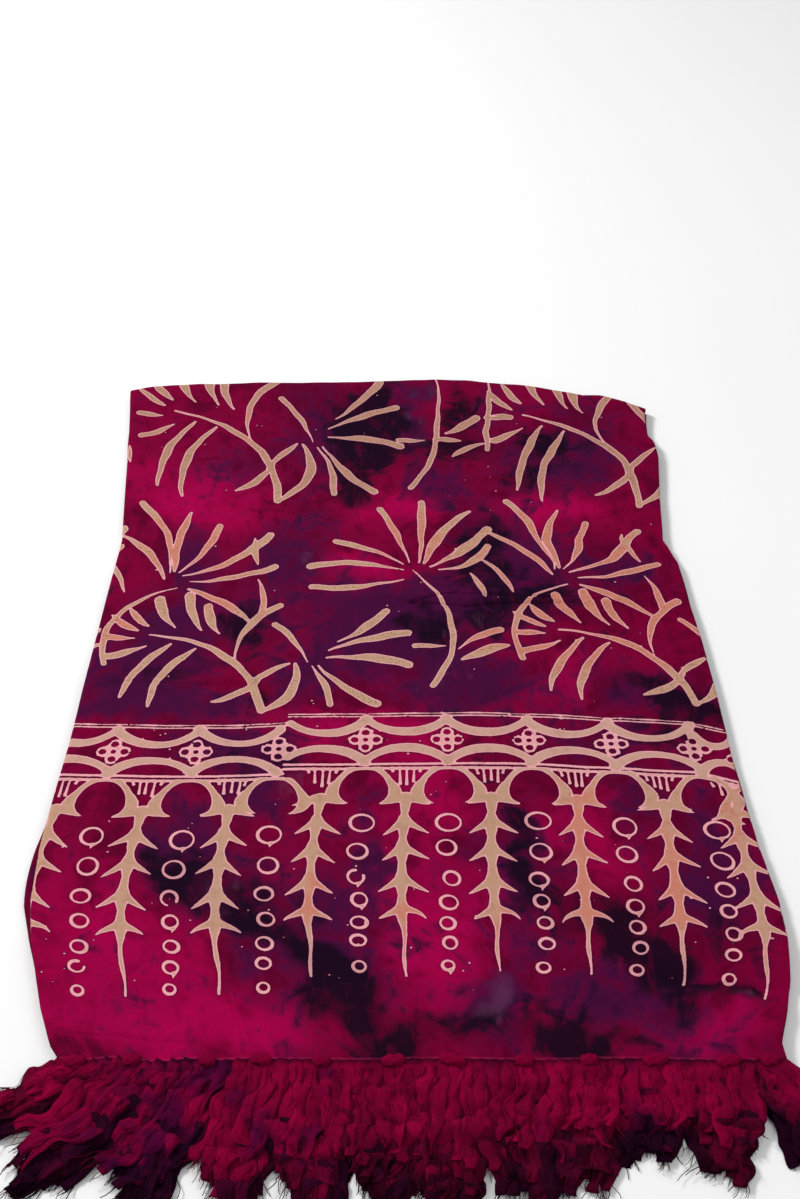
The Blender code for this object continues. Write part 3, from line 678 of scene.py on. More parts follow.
def wax_depth(places, lines):
    """How far inside the nearest waxed line each place is, in millimetres, and below zero outside."""
    margin = 0.004
    depth = np.full(len(places), -margin)
    order = np.argsort(places[:, 0])
    ranked = places[order]
    for path, half in lines:
        room = margin + float(half.max())
        first = np.searchsorted(ranked[:, 0], path[:, 0].min() - room)
        last = np.searchsorted(ranked[:, 0], path[:, 0].max() + room)
        near = order[first:last]
        rows = (places[near, 1] > path[:, 1].min() - room) & (places[near, 1] < path[:, 1].max() + room)
        near = near[rows]
        if not len(near):
            continue
        start, run = path[:-1], path[1:] - path[:-1]
        size = np.maximum((run ** 2).sum(1), 1e-12)
        away = places[near][:, None, :] - start[None]
        t = np.clip((away * run[None]).sum(2) / size, 0.0, 1.0)
        gap = np.linalg.norm(away - t[..., None] * run[None], axis=2)
        inside = (half[:-1] + (half[1:] - half[:-1]) * t - gap).max(1)
        step = np.maximum(MERGE - np.abs(depth[near] - inside), 0.0)
        depth[near] = np.maximum(depth[near], inside) + step ** 2 / (4.0 * MERGE)
    return depth * 1000.0


def outline_places(lines):
    """Points for the cloth's mesh along both sides of each waxed line, outside, on and inside them."""
    places = []
    for path, half in lines:
        run = np.gradient(path, axis=0)
        size = np.maximum(np.hypot(run[:, 0], run[:, 1]), 1e-9)
        side = np.stack([-run[:, 1], run[:, 0]], axis=1) / size[:, None]
        for offset in (OUTSIDE, 0.0, -INSIDE):
            reach = np.maximum(half + offset, 0.0)[:, None]
            places += [path + side * reach, path - side * reach]
        if half.max() > WIDE_LINE:
            places.append(path)
        for end, way in ((0, -1.0), (-1, 1.0)):
            ahead = run[end] / size[end] * way
            for offset in (OUTSIDE, 0.0):
                for turn in ROUND_END:
                    bend = math.cos(turn) * ahead + math.sin(turn) * np.array([-ahead[1], ahead[0]])
                    places.append((path[end] + bend * (half[end] + offset))[None])
    return np.concatenate(places)


def dye_fields(a, s):
    """How much of each dye there is at each place."""
    fields = {}
    drift_a = a + 0.012 * rolling(a, s, 0.070, 21) + 0.006 * rolling(a, s, 0.026, 22)
    drift_s = s + 0.012 * rolling(a, s, 0.075, 23) + 0.006 * rolling(a, s, 0.028, 24)
    for dye, rows in DYES.items():
        fields[dye] = np.zeros(len(a))
        for patch in in_metres(Patch, rows, PATCH_PLAIN):
            turn = math.radians(patch.turn)
            off_a, off_s = drift_a - patch.across, drift_s - patch.up
            along = (off_a * math.cos(turn) + off_s * math.sin(turn)) / patch.wide
            aside = (off_s * math.cos(turn) - off_a * math.sin(turn)) / patch.tall
            cover = patch.depth * np.exp(-(along ** 2 + aside ** 2) ** 1.2)
            fields[dye] = fields[dye] + cover * (1.0 - 0.6 * fields[dye])
    return fields


def add_to_scene(name, data):
    thing = bpy.data.objects.new(name, data)
    bpy.context.scene.collection.objects.link(thing)
    return thing


def sheet_mesh(name, points, triangles, fields):
    """A cloth piece from its points, with what its finish reads at each point."""
    mesh = bpy.data.meshes.new(name)
    mesh.vertices.add(len(points))
    mesh.vertices.foreach_set("co", np.ascontiguousarray(points, np.float32).ravel())
    mesh.loops.add(len(triangles) * 3)
    mesh.loops.foreach_set("vertex_index", np.ascontiguousarray(triangles, np.int32).ravel())
    mesh.polygons.add(len(triangles))
    mesh.polygons.foreach_set("loop_start", np.arange(0, len(triangles) * 3, 3, dtype=np.int32))
    mesh.polygons.foreach_set("use_smooth", np.ones(len(triangles), bool))
    mesh.update(calc_edges=True)
    for field, values in fields.items():
        made = mesh.attributes.new(field, "FLOAT", "POINT")
        made.data.foreach_set("value", np.ascontiguousarray(values, np.float32))
    return add_to_scene(name, mesh)


def make_top_cloth(pen):
    """The layer that shows, with the far and the side fold, fine enough to hold the print's edges."""
    low_a = -math.pi * LEFT_ROLL
    high_a = CLOTH_WIDTH + SELVAGE_TURN + TURN_UNDER
    low_s = -SELVAGE_TURN - TURN_UNDER
    turn = math.pi * FAR_ROLL
    across = np.concatenate([
        np.linspace(low_a, 0.0, 7)[:-1],
        np.linspace(0.0, CLOTH_WIDTH, int(CLOTH_WIDTH / GRID_STEP)),
        CLOTH_WIDTH + np.array(EDGE_TURN),
        [high_a],
    ])
    along = np.concatenate([
        [low_s, *HEM_TURN],
        np.linspace(0.0, FOLD_LENGTH, int(FOLD_LENGTH / GRID_STEP)),
        FOLD_LENGTH + np.linspace(0.0, turn, 10)[1:],
    ])
    grid = np.stack(np.meshgrid(across, along), axis=-1).reshape(-1, 2)

    def to_plan(places):
        fold = far_line(places[:, 0])
        s = places[:, 1]
        stretched = np.where(s < fold, s * FOLD_LENGTH / fold, FOLD_LENGTH + s - fold)
        return np.stack([places[:, 0], np.where(s < 0.0, s, stretched)], axis=1)

    def from_plan(places):
        fold = far_line(places[:, 0])
        w = places[:, 1]
        s = np.where(w < FOLD_LENGTH, w * fold / FOLD_LENGTH, fold + w - FOLD_LENGTH)
        return np.stack([places[:, 0], np.where(w < 0.0, w, s)], axis=1)

    drawn = to_plan(np.concatenate([outline_places(pen.lines), outline_places(pen.bare), wrinkle_places()]))
    inside = (drawn[:, 0] > low_a + 0.0006) & (drawn[:, 0] < CLOTH_WIDTH - 0.0004)
    inside &= (drawn[:, 1] > 0.0004) & (drawn[:, 1] < FOLD_LENGTH + turn - 0.0006)
    drawn = drawn[inside]
    _, kept = np.unique(np.round(drawn / OUTLINE_STEP).astype(int), axis=0, return_index=True)
    drawn = drawn[kept]
    whole = np.concatenate([grid, drawn])
    points, _, triangles, *_ = delaunay_2d_cdt([Vector(p) for p in whole], [], [], 0, 1e-7)
    flat = from_plan(np.array([tuple(p) for p in points]))
    triangles = np.array(triangles)
    wax = wax_depth(flat, pen.lines)
    wax = np.minimum(wax, -wax_depth(flat, pen.bare))
    fields = dye_fields(flat[:, 0], flat[:, 1])
    fields["wax"] = wax
    fields["across"] = flat[:, 0]
    fields["up"] = flat[:, 1]
    return sheet_mesh("cloth_top", lay_top(flat[:, 0], flat[:, 1]), triangles, fields)


def grid_triangles(rows, columns):
    """Two triangles for each cell of a grid of points."""
    corner = (np.arange(rows - 1)[:, None] * columns + np.arange(columns - 1)[None]).ravel()
    one = np.stack([corner, corner + 1, corner + columns + 1], axis=1)
    two = np.stack([corner, corner + columns + 1, corner + columns], axis=1)
    return np.concatenate([one, two])


def make_hidden_layer(layer):
    """One of the layers below, whose edges show. The third turns round into the bottom at its fold."""
    folded = layer.name == "cloth_third"
    lead = -math.pi * LEFT_ROLL if folded else 0.004
    across = np.concatenate([
        np.linspace(lead, 0.006, 8)[:-1],
        np.linspace(0.006, CLOTH_WIDTH, 70),
        CLOTH_WIDTH + np.array([*EDGE_TURN, HIDDEN_TURN]),
    ])
    along = np.concatenate([[-HIDDEN_TURN, *HEM_TURN], np.linspace(0.0, UNDER_LENGTH, 104)])
    a, s = [part.ravel() for part in np.meshgrid(across, along)]
    y = np.maximum(s, 0.0) * (far_line(a) - 0.002) / UNDER_LENGTH
    out = layer.out + 0.0009 * np.sin(y / 0.047 + layer.phase)
    out = out + 0.0006 * np.sin(y / 0.019 + 2.0 * layer.phase)
    stand = 0.0075 * hump(y, 0.168, 0.055) if folded else 0.0
    left, right = sides_at(y)
    left, right = left - stand, right + out
    inside = np.clip(a, 0.0, CLOTH_WIDTH)
    x = left + (right - left) * inside / CLOTH_WIDTH
    share = inside / CLOTH_WIDTH
    level = layer.fold_level + (layer.selvage_level - layer.fold_level) * smooth(0.0, 0.25, share)
    level = level * (pile_height(x, y) / STACK if layer.selvage_level > 0.002 else 1.0)
    level = level + 0.0003 * np.sin(y / 0.033 + layer.phase) * smooth(0.9, 1.0, share)
    fold_out, fold_deep = turned_edge(np.maximum(-a, 0.0), LEFT_ROLL * 0.8)
    edge_out, edge_deep = turned_edge(np.maximum(a - CLOTH_WIDTH, 0.0), SELVAGE_ROLL)
    hem_out, hem_deep = turned_edge(np.maximum(-s, 0.0), SELVAGE_ROLL)
    hem = hem_line(x + layer.phase * 0.01) * np.exp(-y / HEM_REACH) + layer.near * np.exp(-y / 0.02)
    z = np.maximum(level - fold_deep - edge_deep - hem_deep, LOWEST)
    points = np.stack([x - fold_out + edge_out - MIDDLE_X, y - hem_out + hem - MIDDLE_Y, z], axis=1)
    fields = dye_fields(CLOTH_WIDTH - a * 0.9, s)
    fields["wax"] = np.full(len(a), NO_WAX)
    fields["across"] = a + layer.phase
    fields["up"] = s
    return sheet_mesh(layer.name, points, grid_triangles(len(along), len(across)), fields)


class Shade:
    """A number in a finish that differs over the piece. It is worked on as any number is."""

    def __init__(self, finish, socket):
        self.finish = finish
        self.socket = socket

    def work(self, operation, other=None, turned=False):
        pair = [other, self] if turned else [self, other]
        inputs = {k: value for k, value in enumerate(pair) if value is not None}
        return self.finish.number("ShaderNodeMath", {"operation": operation}, inputs)

    def __add__(self, other):
        return self.work("ADD", other)

    def __sub__(self, other):
        return self.work("SUBTRACT", other)

    def __mul__(self, other):
        return self.work("MULTIPLY", other)

    def __rsub__(self, other):
        return self.work("SUBTRACT", other, turned=True)

    __radd__ = __add__
    __rmul__ = __mul__

    def sine(self):
        return self.work("SINE")

    def step(self, low, high):
        """0 below low, 1 above high, and an eased slope between."""
        return self.finish.number("ShaderNodeMapRange", {"interpolation_type": "SMOOTHSTEP"},
                                  {"Value": self, "From Min": low, "From Max": high})


class Finish:
    """One material."""

    def __init__(self, name):
        self.material = bpy.data.materials.new(name)
        self.material.use_nodes = True
        self.tree = self.material.node_tree
        self.shader = self.tree.nodes["Principled BSDF"]

    def node(self, kind, settings=None, sockets=None):
        made = self.tree.nodes.new(kind)
        for name, value in (settings or {}).items():
            setattr(made, name, value)
        for name, value in (sockets or {}).items():
            self.put(made.inputs[name], value)
        return made

    def put(self, socket, value):
        if isinstance(value, Shade):
            value = value.socket
        if isinstance(value, bpy.types.NodeSocket):
            self.tree.links.new(value, socket)
        elif isinstance(value, tuple) and len(value) == 3 and socket.type == "RGBA":
            socket.default_value = (*value, 1.0)
        else:
            socket.default_value = value

    def number(self, kind, settings=None, sockets=None, output=0):
        return Shade(self, self.node(kind, settings, sockets).outputs[output])

    def field(self, name):
        return self.number("ShaderNodeAttribute", {"attribute_name": name}, output="Fac")

    def mix(self, one, other, share):
        made = self.node("ShaderNodeMix", {"data_type": "RGBA"}, {0: share})
        self.put(made.inputs[6], one)
        self.put(made.inputs[7], other)
        return made.outputs[2]

    def noise(self, place, scale, detail, rough, swirl=0.0):
        return self.number("ShaderNodeTexNoise", None, {"Vector": place, "Scale": scale, "Detail": detail,
                                                        "Roughness": rough, "Distortion": swirl})

    def set(self, **sockets):
        for name, value in sockets.items():
            self.put(self.shader.inputs[name.replace("_", " ")], value)


# Colours of the dye and the wax. The band's wax colour carries a painted sheen, and the hem's colour is a
# painted highlight.
BRIGHT_FUCHSIA = (0.350, 0.000, 0.057)
CRIMSON = (0.180, 0.000, 0.028)
MAROON = (0.092, 0.000, 0.018)
PLUM = (0.046, 0.003, 0.036)
NAVY = (0.0080, 0.0018, 0.0095)
LILAC = (0.120, 0.032, 0.090)
WAX_BORDER = (0.475, 0.270, 0.185)
WAX_BAND_PAINTED_SHEEN = (0.530, 0.300, 0.240)
WAX_FIELD = (0.460, 0.275, 0.180)
WAX_TOP = (0.400, 0.215, 0.148)
WAX_SALMON = (0.540, 0.172, 0.122)
WAX_RIM = (0.760, 0.340, 0.380)
WAX_STAIN = (0.30, 0.13, 0.08)
WAX_SPECK = (0.13, 0.05, 0.04)
DYE_EDGE = (0.022, 0.000, 0.010)
HEM_PAINTED_HIGHLIGHT = (0.420, 0.020, 0.110)
BLACK = (0.0, 0.0, 0.0)

# Heights up the cloth between which the wax changes its colour.
BAND_FOOT = (0.265, 0.285)
BAND_HEAD = (0.345, 0.370)
TOP_ROW = (0.640, 0.690)

# Colours of the yarn. The darkest also serves as painted shade on the rows under the top one, and the
# root's colour is a painted shadow where the locks go under the hem.
YARN_BRIGHT = (0.240, 0.000, 0.034)
YARN_DEEP = (0.115, 0.000, 0.020)
YARN_PLUM = (0.046, 0.001, 0.036)
YARN_DARK = (0.010, 0.001, 0.008)
YARN_ROOT_PAINTED_SHADOW = (0.008, 0.0, 0.004)

# The weave's waves across and up the cloth, in radians for each metre.
WEAVE = 8900.0


def cloth_finish(name, painted_shade_brightness=1.0):
    """Waxed and dyed rayon: dye in soft patches, wax lines with uneven pink edges, and a fine weave.
    The wax across the border's band gets a painted sheen, a painted highlight runs along the hem,
    and a brightness below 1 darkens the whole cloth with painted shade.
    """
    finish = Finish(name)
    across, up = finish.field("across"), finish.field("up")
    place = finish.node("ShaderNodeCombineXYZ", None, {"X": across, "Y": up}).outputs[0]
    broad = finish.noise(place, 9.0, 4.0, 0.6)
    cloud = finish.noise(place, 30.0, 4.0, 0.56, 1.1)
    mottle = finish.noise(place, 85.0, 4.0, 0.65, 0.7)
    grain = finish.noise(place, 210.0, 3.0, 0.6)
    speck = finish.noise(place, 480.0, 2.0, 0.5)
    fine = finish.noise(place, 900.0, 2.0, 0.6)
    drawn_out = finish.node("ShaderNodeCombineXYZ", None, {"X": across * 75.0, "Y": up * 24.0})
    streak = finish.noise(drawn_out.outputs[0], 1.0, 3.0, 0.6, 0.8)
    stir = (cloud - 0.5) * 1.7 + (streak - 0.5) * 0.8 + (mottle - 0.5) * 0.30

    bright = (finish.field("bright") + (broad - 0.5) * 0.9 + stir * 0.6).step(0.02, 0.85)
    ground = finish.mix(MAROON, CRIMSON, (broad + stir * 0.6).step(0.25, 0.62))
    ground = finish.mix(ground, BRIGHT_FUCHSIA, bright * 0.92)
    plum = (finish.field("plum") + stir * 1.2).step(0.02, 0.85)
    ground = finish.mix(ground, PLUM, plum * 0.94)
    navy = (finish.field("navy") + stir * 1.1).step(0.12, 0.84)
    ground = finish.mix(ground, NAVY, navy * 0.96)
    ground = finish.mix(ground, CRIMSON, (streak - 0.55).step(0.0, 0.16) * 0.22)
    haze = (finish.field("haze") + stir * 1.1).step(0.40, 1.10)
    ground = finish.mix(ground, LILAC, haze * 0.50)

    wax = finish.field("wax") - 0.22 + (grain - 0.5) * 1.1 + (fine - 0.5) * 0.35
    kept = wax.step(-0.05, 0.20)
    core = wax.step(0.50, 1.45)
    warm = (finish.field("warm") + (cloud - 0.5) * 1.0 + (mottle - 0.5) * 0.8).step(0.12, 0.65)
    # The wax across the border's band is lighter and pinker: a painted sheen.
    cream = finish.mix(WAX_BORDER, WAX_BAND_PAINTED_SHEEN, up.step(*BAND_FOOT))
    cream = finish.mix(cream, WAX_FIELD, up.step(*BAND_HEAD))
    cream = finish.mix(cream, WAX_TOP, up.step(*TOP_ROW))
    cream = finish.mix(cream, WAX_SALMON, warm * 0.80)
    cream = finish.mix(cream, WAX_STAIN, (mottle - 0.45).step(0.0, 0.35) * 0.45)
    specked = 0.15 + up.step(0.34, 0.37) * 0.45
    cream = finish.mix(cream, WAX_SPECK, (speck - 0.55).step(0.0, 0.12) * specked)
    rim = finish.mix(WAX_RIM, cream, core)
    rim = finish.mix(rim, PLUM, navy * (1.0 - core) * 0.25)
    edge = wax.step(-1.2, -0.15) * (1.0 - kept)
    ground = finish.mix(ground, DYE_EDGE, edge * 0.60)
    colour = finish.mix(ground, rim, kept)
    # A painted highlight along the edge of the hem.
    colour = finish.mix(colour, HEM_PAINTED_HIGHLIGHT, (1.0 - up.step(0.0006, 0.0022)) * 0.28)

    thread = (across * WEAVE).sine() * (up * WEAVE).sine()
    # Fine flecks darken the weave; a brightness below 1 darkens the whole cloth with painted shade.
    colour = finish.mix(colour, BLACK, (fine - 0.45).step(0.0, 0.5) * 0.14 + (1.0 - painted_shade_brightness))
    height = thread * 0.12 + (grain - 0.5) * 0.45 + (fine - 0.5) * 0.35 + kept * 0.15
    bump = finish.node("ShaderNodeBump", None, {"Strength": 0.40, "Distance": 0.0006, "Height": height})
    finish.set(Base_Color=colour, Roughness=0.80 - kept * 0.06 + (cloud - 0.5) * 0.10,
               Normal=bump.outputs[0], Specular_IOR_Level=0.02)
    return finish.material


def yarn_finish(name):
    """Dyed rayon yarn: crimson with purple and darker lengths, matt, with fine hairs along it. The
    darkening is also painted shade on the rows under the top one, and a painted shadow darkens each
    lock at its root, where it goes under the hem.
    """
    finish = Finish(name)
    place = finish.node("ShaderNodeTexCoord").outputs["Object"]
    blotch = finish.noise(place, 24.0, 3.0, 0.6, 0.6)
    tuft = finish.noise(place, 130.0, 3.0, 0.6)
    along = finish.field("along")
    around = finish.field("around")
    wound = finish.node("ShaderNodeCombineXYZ", None, {"X": around * 6.0, "Y": along * 90.0})
    thread = finish.noise(wound.outputs[0], 1.0, 3.0, 0.65)
    tone, dark = finish.field("tone"), finish.field("dark")
    deep = (tone + (blotch - 0.5) * 1.8 + (tuft - 0.5) * 0.7).step(0.0, 1.0)
    colour = finish.mix(YARN_BRIGHT, YARN_DEEP, deep)
    plum = (finish.field("plum") + (blotch - 0.5) * 1.7).step(0.28, 0.95)
    colour = finish.mix(colour, YARN_PLUM, plum * 0.80)
    # Darker lengths of yarn, with painted shade on the rows that lie under the top one.
    colour = finish.mix(colour, YARN_DARK, (dark + (blotch - 0.5) * 1.2).step(0.15, 1.05) * 0.90)
    colour = finish.mix(colour, BLACK, (thread - 0.45).step(0.0, 0.35) * 0.40)
    # A painted shadow on each lock's root, where it goes under the hem.
    colour = finish.mix(colour, YARN_ROOT_PAINTED_SHADOW, (1.0 - along.step(0.0, 0.0060)) * 0.75)
    height = (thread - 0.5) * 1.6 + (tuft - 0.5) * 1.0
    bump = finish.node("ShaderNodeBump", None, {"Strength": 0.75, "Distance": 0.0010, "Height": height})
    finish.set(Base_Color=colour, Roughness=0.9, Normal=bump.outputs[0], Specular_IOR_Level=0.03)
    return finish.material


def floor_finish():
    """A plain pale surface."""
    finish = Finish("pale_floor")
    place = finish.node("ShaderNodeTexCoord").outputs["Object"]
    speck = finish.noise(place, 3.0, 2.0, 0.5)
    finish.set(Base_Color=finish.mix((0.86, 0.86, 0.86), (0.88, 0.88, 0.88), speck), Roughness=0.9)
    return finish.material


# Tassels along the hem, as in the folded pile: where a tassel's roots begin, its knot, how many locks
# it has, where its tips lie in the top row (top) and in the bottom row (low), and how purple and dark.
Tassel = namedtuple("Tassel", "start knot locks top_x top_out low_x low_out plum dark")
TASSEL_PLAIN = ("locks", "plum", "dark")
TASSELS = in_metres(Tassel, (
    (-246.5, -236, 3, -291, 37, -292, 58, 0.1, 0.2), (-216.5, -195, 5, -264, 73, -253, 105, 0.5, 0.5),
    (-167.5, -140, 5, -200, 85, -183, 115, 0.6, 0.3), (-120.6, -101, 4, -128, 81, -112, 120, 0.3, 0.0),
    (-79, -57, 5, -69, 85, -61, 122, 0.3, 0.0), (-31, -5, 5, -17, 85, -10, 120, 0.0, 0.0),
    (16.3, 38, 5, 28, 81, 30, 122, 0.0, 0.0), (64, 90, 5, 77, 69, 86, 115, 0.1, 0.1),
    (113.7, 137, 5, 123, 58, 126, 104, 0.0, 0.0), (161.4, 185, 5, 183, 54, 173, 81, 0.4, 0.1),
    (211.9, 238, 4, 234, 65, 221, 98, 0.0, 0.1), (255.2, 268, 3, 292, 42, 286, 92, 0.3, 0.3),
), TASSEL_PLAIN)
HEM_RIGHT = 0.2805

# Rows of the fringe: the node each one stands for, how near its tips are to the bottom row's, how
# # tightly it is squeezed, the heights of its roots and of its tips, the points round and along a
# # lock, half of a lock's thickness, how purple, and how dark, which is painted shade on the rows
# # that lie under the top one.
Row = namedtuple("Row", "name node low squeeze root rest sides rings thick plum dark")
FRINGE_ROWS = (
    Row("yarn_top", "fringe_row_top", 0.0, 1.00, 0.0084, 0.0062, 18, 46, 0.0017, 0.0, 0.00),
    Row("yarn_second", "fringe_row_second", 0.45, 0.92, 0.0060, 0.0046, 12, 32, 0.0014, 0.2, 0.55),
    Row("yarn_third", "fringe_row_third", 0.80, 0.84, 0.0040, 0.0032, 12, 32, 0.0012, 0.5, 0.85),
    Row("yarn_bottom", "fringe_row_bottom", 1.0, 0.80, 0.0022, 0.0021, 12, 32, 0.0011, 0.5, 0.90),
)

# Loose yarns of a lock: how many there are, where along it they start and end, and their points.
Loose = namedtuple("Loose", "count first reach rings")
LOCK_ENDS = Loose(6, 0.80, 1.05, 9)
TOP_STRAYS = Loose(2, 0.08, 0.95, 22)
LOW_STRAYS = Loose(1, 0.08, 0.95, 22)

# Knots: points round and along one, and its half sizes.
KNOT_SIDES = 26
KNOT_RINGS = 18
KNOT_WIDE = 0.0082
KNOT_DEEP = 0.0048
KNOT_TALL = 0.0033
HIDDEN_KNOT_TALL = 0.0013


def crumple(dice, length, t, shortest, longest):
    """An uneven wave along a lock between about -1 and 1."""
    total = np.zeros_like(t)
    for _ in range(3):
        wave = dice.uniform(shortest, longest)
        size = dice.uniform(0.3, 0.7)
        total = total + size * np.sin(t * length / wave * 2.0 * math.pi + dice.uniform(0.0, 6.28))
    return total


class Lock:
    """One lock of a fringe row: its middle line, which way its width points, and its size along it."""

    def __init__(self, row, row_number, number, place_in_row, dice):
        root_x, tassel, place, pitch = place_in_row
        aim_x = tassel.top_x + (tassel.low_x - tassel.top_x) * row.low
        aim_out = tassel.top_out + (tassel.low_out - tassel.top_out) * row.low
        run_x = aim_x - tassel.knot
        size = math.hypot(run_x, aim_out)
        across_x, across_y = aim_out / size, run_x / size
        aside = place * pitch * row.squeeze
        reach = 1.0 + 0.11 * uneven(number + 17 * row_number) - 0.03 * abs(place)
        tip = np.array([tassel.knot + run_x * reach + across_x * aside * across_x,
                        -aim_out * reach + across_y * aside * across_x])
        root = np.array([root_x, float(hem_line(np.array(root_x))) + 0.0002])
        bend = np.array([root[0] + (tip[0] - root[0]) * 0.30, root[1] + (tip[1] - root[1]) * 0.55])
        t = np.linspace(0.0, 1.0, row.rings)
        self.t = t
        self.length = size * reach
        u = t[:, None]
        path = (1 - u) ** 2 * root + 2 * u * (1 - u) * bend + u ** 2 * tip
        free = smooth(0.0, 0.25, t)
        way = np.gradient(path, axis=0)
        way = way / np.hypot(way[:, 0], way[:, 1])[:, None]
        side = np.stack([-way[:, 1], way[:, 0]], axis=1)
        shared = np.random.default_rng(int(1000 + 900 * (tassel.start + 1.0)) + row_number)
        sway = 0.0030 * crumple(shared, self.length, t, 0.035, 0.080) * free
        sway = sway + 0.0011 * crumple(dice, self.length, t, 0.018, 0.045) * free
        path = path + side * sway[:, None]
        path = path + way * (0.0010 * crumple(dice, self.length, t, 0.012, 0.024) * free)[:, None]
        high = row.rest + (row.root - row.rest) * np.exp(-t * self.length / 0.045)
        lift = 0.0016 * crumple(shared, self.length, t, 0.016, 0.040) * free
        lift = lift + 0.0008 * crumple(dice, self.length, t, 0.012, 0.030) * free
        lift = lift + 0.0011 * dice.uniform(-1.0, 1.0) * smooth(0.1, 0.6, t)
        self.middle = np.stack([path[:, 0], path[:, 1], high + lift], axis=1)
        self.side = np.stack([side[:, 0], side[:, 1], np.zeros_like(t)], axis=1)
        turn = dice.normal(0.0, 0.3) * smooth(0.1, 1.0, t)
        turn = turn + 0.5 * crumple(dice, self.length, t, 0.040, 0.080) * free
        self.turn = np.clip(turn, -0.8, 0.8)
        self.wide = pitch * 0.80 * (1.0 + 0.16 * crumple(dice, self.length, t, 0.018, 0.050) * free)
        self.wide = self.wide * (1.0 - 0.50 * smooth(0.78, 1.0, t)) * (0.70 + 0.30 * smooth(0.0, 0.1, t))
        self.thick = row.thick * (1.0 + 0.25 * crumple(dice, self.length, t, 0.010, 0.024) * free)
        self.thick = self.thick * (1.0 - 0.55 * smooth(0.80, 1.0, t))
        self.plum = tassel.plum + row.plum + 0.08 * dice.normal()
        # The tassel's darkness, the row's painted shade, and a little at random.
        self.dark = tassel.dark * 0.7 + row.dark + 0.08 * dice.normal()
        self.tone = dice.uniform(0.2, 0.6)


def lock_body(lock, sides, dice):
    """Points of one lock as a soft, grooved and crumpled bundle of yarn."""
    v = np.linspace(0.0, 2.0 * math.pi, sides, endpoint=False)[None]
    t = lock.t[:, None]
    drift = crumple(dice, lock.length, lock.t, 0.03, 0.07)[:, None]
    groove = 1.0 + 0.08 * np.sin(5.0 * v + 1.4 * drift + dice.uniform(0.0, 6.28))
    groove = groove + 0.06 * np.sin(8.0 * v - 1.9 * drift + dice.uniform(0.0, 6.28))
    twist = 3.0 * v + t * lock.length / 0.0060 + dice.uniform(0.0, 6.28)
    groove = groove + 0.03 * np.sin(twist) * smooth(0.05, 0.3, t)
    flat = np.cos(v) * lock.wide[:, None] * groove
    deep = np.sign(np.sin(v)) * np.abs(np.sin(v)) ** 0.8 * lock.thick[:, None] * groove
    cos, sin = np.cos(lock.turn)[:, None], np.sin(lock.turn)[:, None] * 0.55
    aside, rise = flat * cos - deep * sin, flat * sin + deep * cos
    points = lock.middle[:, None, :] + lock.side[:, None, :] * aside[..., None]
    points[..., 2] += rise
    points[..., 2] = np.maximum(points[..., 2], 0.0006)
    return points


def lock_yarns(lock, loose, dice, spread, lifted):
    """Loose yarns of one lock, as points."""
    yarns = []
    for _ in range(loose.count):
        end = loose.reach * dice.uniform(0.93, 1.06)
        t = np.linspace(loose.first * dice.uniform(0.9, 1.05), end, loose.rings)
        inside = np.clip(t, 0.0, 1.0)
        middle = np.stack([np.interp(inside, lock.t, lock.middle[:, k]) for k in range(3)], axis=1)
        ahead = lock.middle[-1] - lock.middle[-4]
        ahead = ahead / np.linalg.norm(ahead[:2])
        ahead[2] = 0.0
        middle = middle + ahead * ((t - inside) * lock.length)[:, None]
        side = np.stack([np.interp(inside, lock.t, lock.side[:, k]) for k in range(3)], axis=1)
        wide = np.interp(inside, lock.t, lock.wide)
        aside = dice.uniform(-spread, spread) * wide
        aside = aside + dice.normal(0.0, 0.004) * np.maximum(t - 0.85, 0.0) / 0.15
        curl = 0.0009 * crumple(dice, lock.length, t, 0.010, 0.022)
        path = middle + side * (aside + curl)[:, None]
        rise = lifted + dice.uniform(-0.0008, 0.0008)
        path[:, 2] += rise + 0.0007 * crumple(dice, lock.length, t, 0.010, 0.022)
        path[:, 2] = np.maximum(path[:, 2], 0.0009)
        yarns.append(path)
    return yarns


def ring_triangles(count, rings, sides):
    """Triangles of many closed tubes, one after the other, with both of their ends capped."""
    first = (np.arange(count)[:, None, None] * rings + np.arange(rings - 1)[None, :, None]) * sides
    k = np.arange(sides)[None, None, :]
    n = (k + 1) % sides
    a, b, c, d = first + k, first + n, first + sides + n, first + sides + k
    triangles = [np.stack([a, b, c], axis=-1).reshape(-1, 3), np.stack([a, c, d], axis=-1).reshape(-1, 3)]
    start = np.arange(count) * rings * sides
    end = start + (rings - 1) * sides
    for j in range(1, sides - 1):
        triangles.append(np.stack([start, start + j + 1, start + j], axis=1))
        triangles.append(np.stack([end, end + j, end + j + 1], axis=1))
    return np.concatenate(triangles)


def yarn_points(yarns, thick):
    """Three-sided tubes round loose yarns that all have the same number of points."""
    paths = np.array(yarns)
    way = np.gradient(paths, axis=1)
    way = way / np.maximum(np.linalg.norm(way, axis=2, keepdims=True), 1e-9)
    side = np.cross(way, np.array([0.0, 0.0, 1.0]))
    side = side / np.maximum(np.linalg.norm(side, axis=2, keepdims=True), 1e-9)
    lift = np.cross(side, way)
    turns = np.arange(3) / 3.0 * 2.0 * math.pi
    fade = np.linspace(1.0, 0.45, paths.shape[1]) ** 0.7
    ring = np.cos(turns)[:, None] * side[:, :, None, :] + np.sin(turns)[:, None] * lift[:, :, None, :]
    return paths[:, :, None, :] + ring * (thick[:, None] * fade[None])[:, :, None, None]


def lock_roots():
    """Where each lock leaves the hem, with its tassel, its place in that and how wide it is."""
    roots = []
    ends = [tassel.start for tassel in TASSELS[1:]] + [HEM_RIGHT]
    for tassel, end in zip(TASSELS, ends):
        pitch = (end - tassel.start) / tassel.locks
        for number in range(tassel.locks):
            start = tassel.start + number * pitch
            roots.append((start + pitch / 2.0, tassel, number - (tassel.locks - 1) / 2.0, pitch))
    return roots


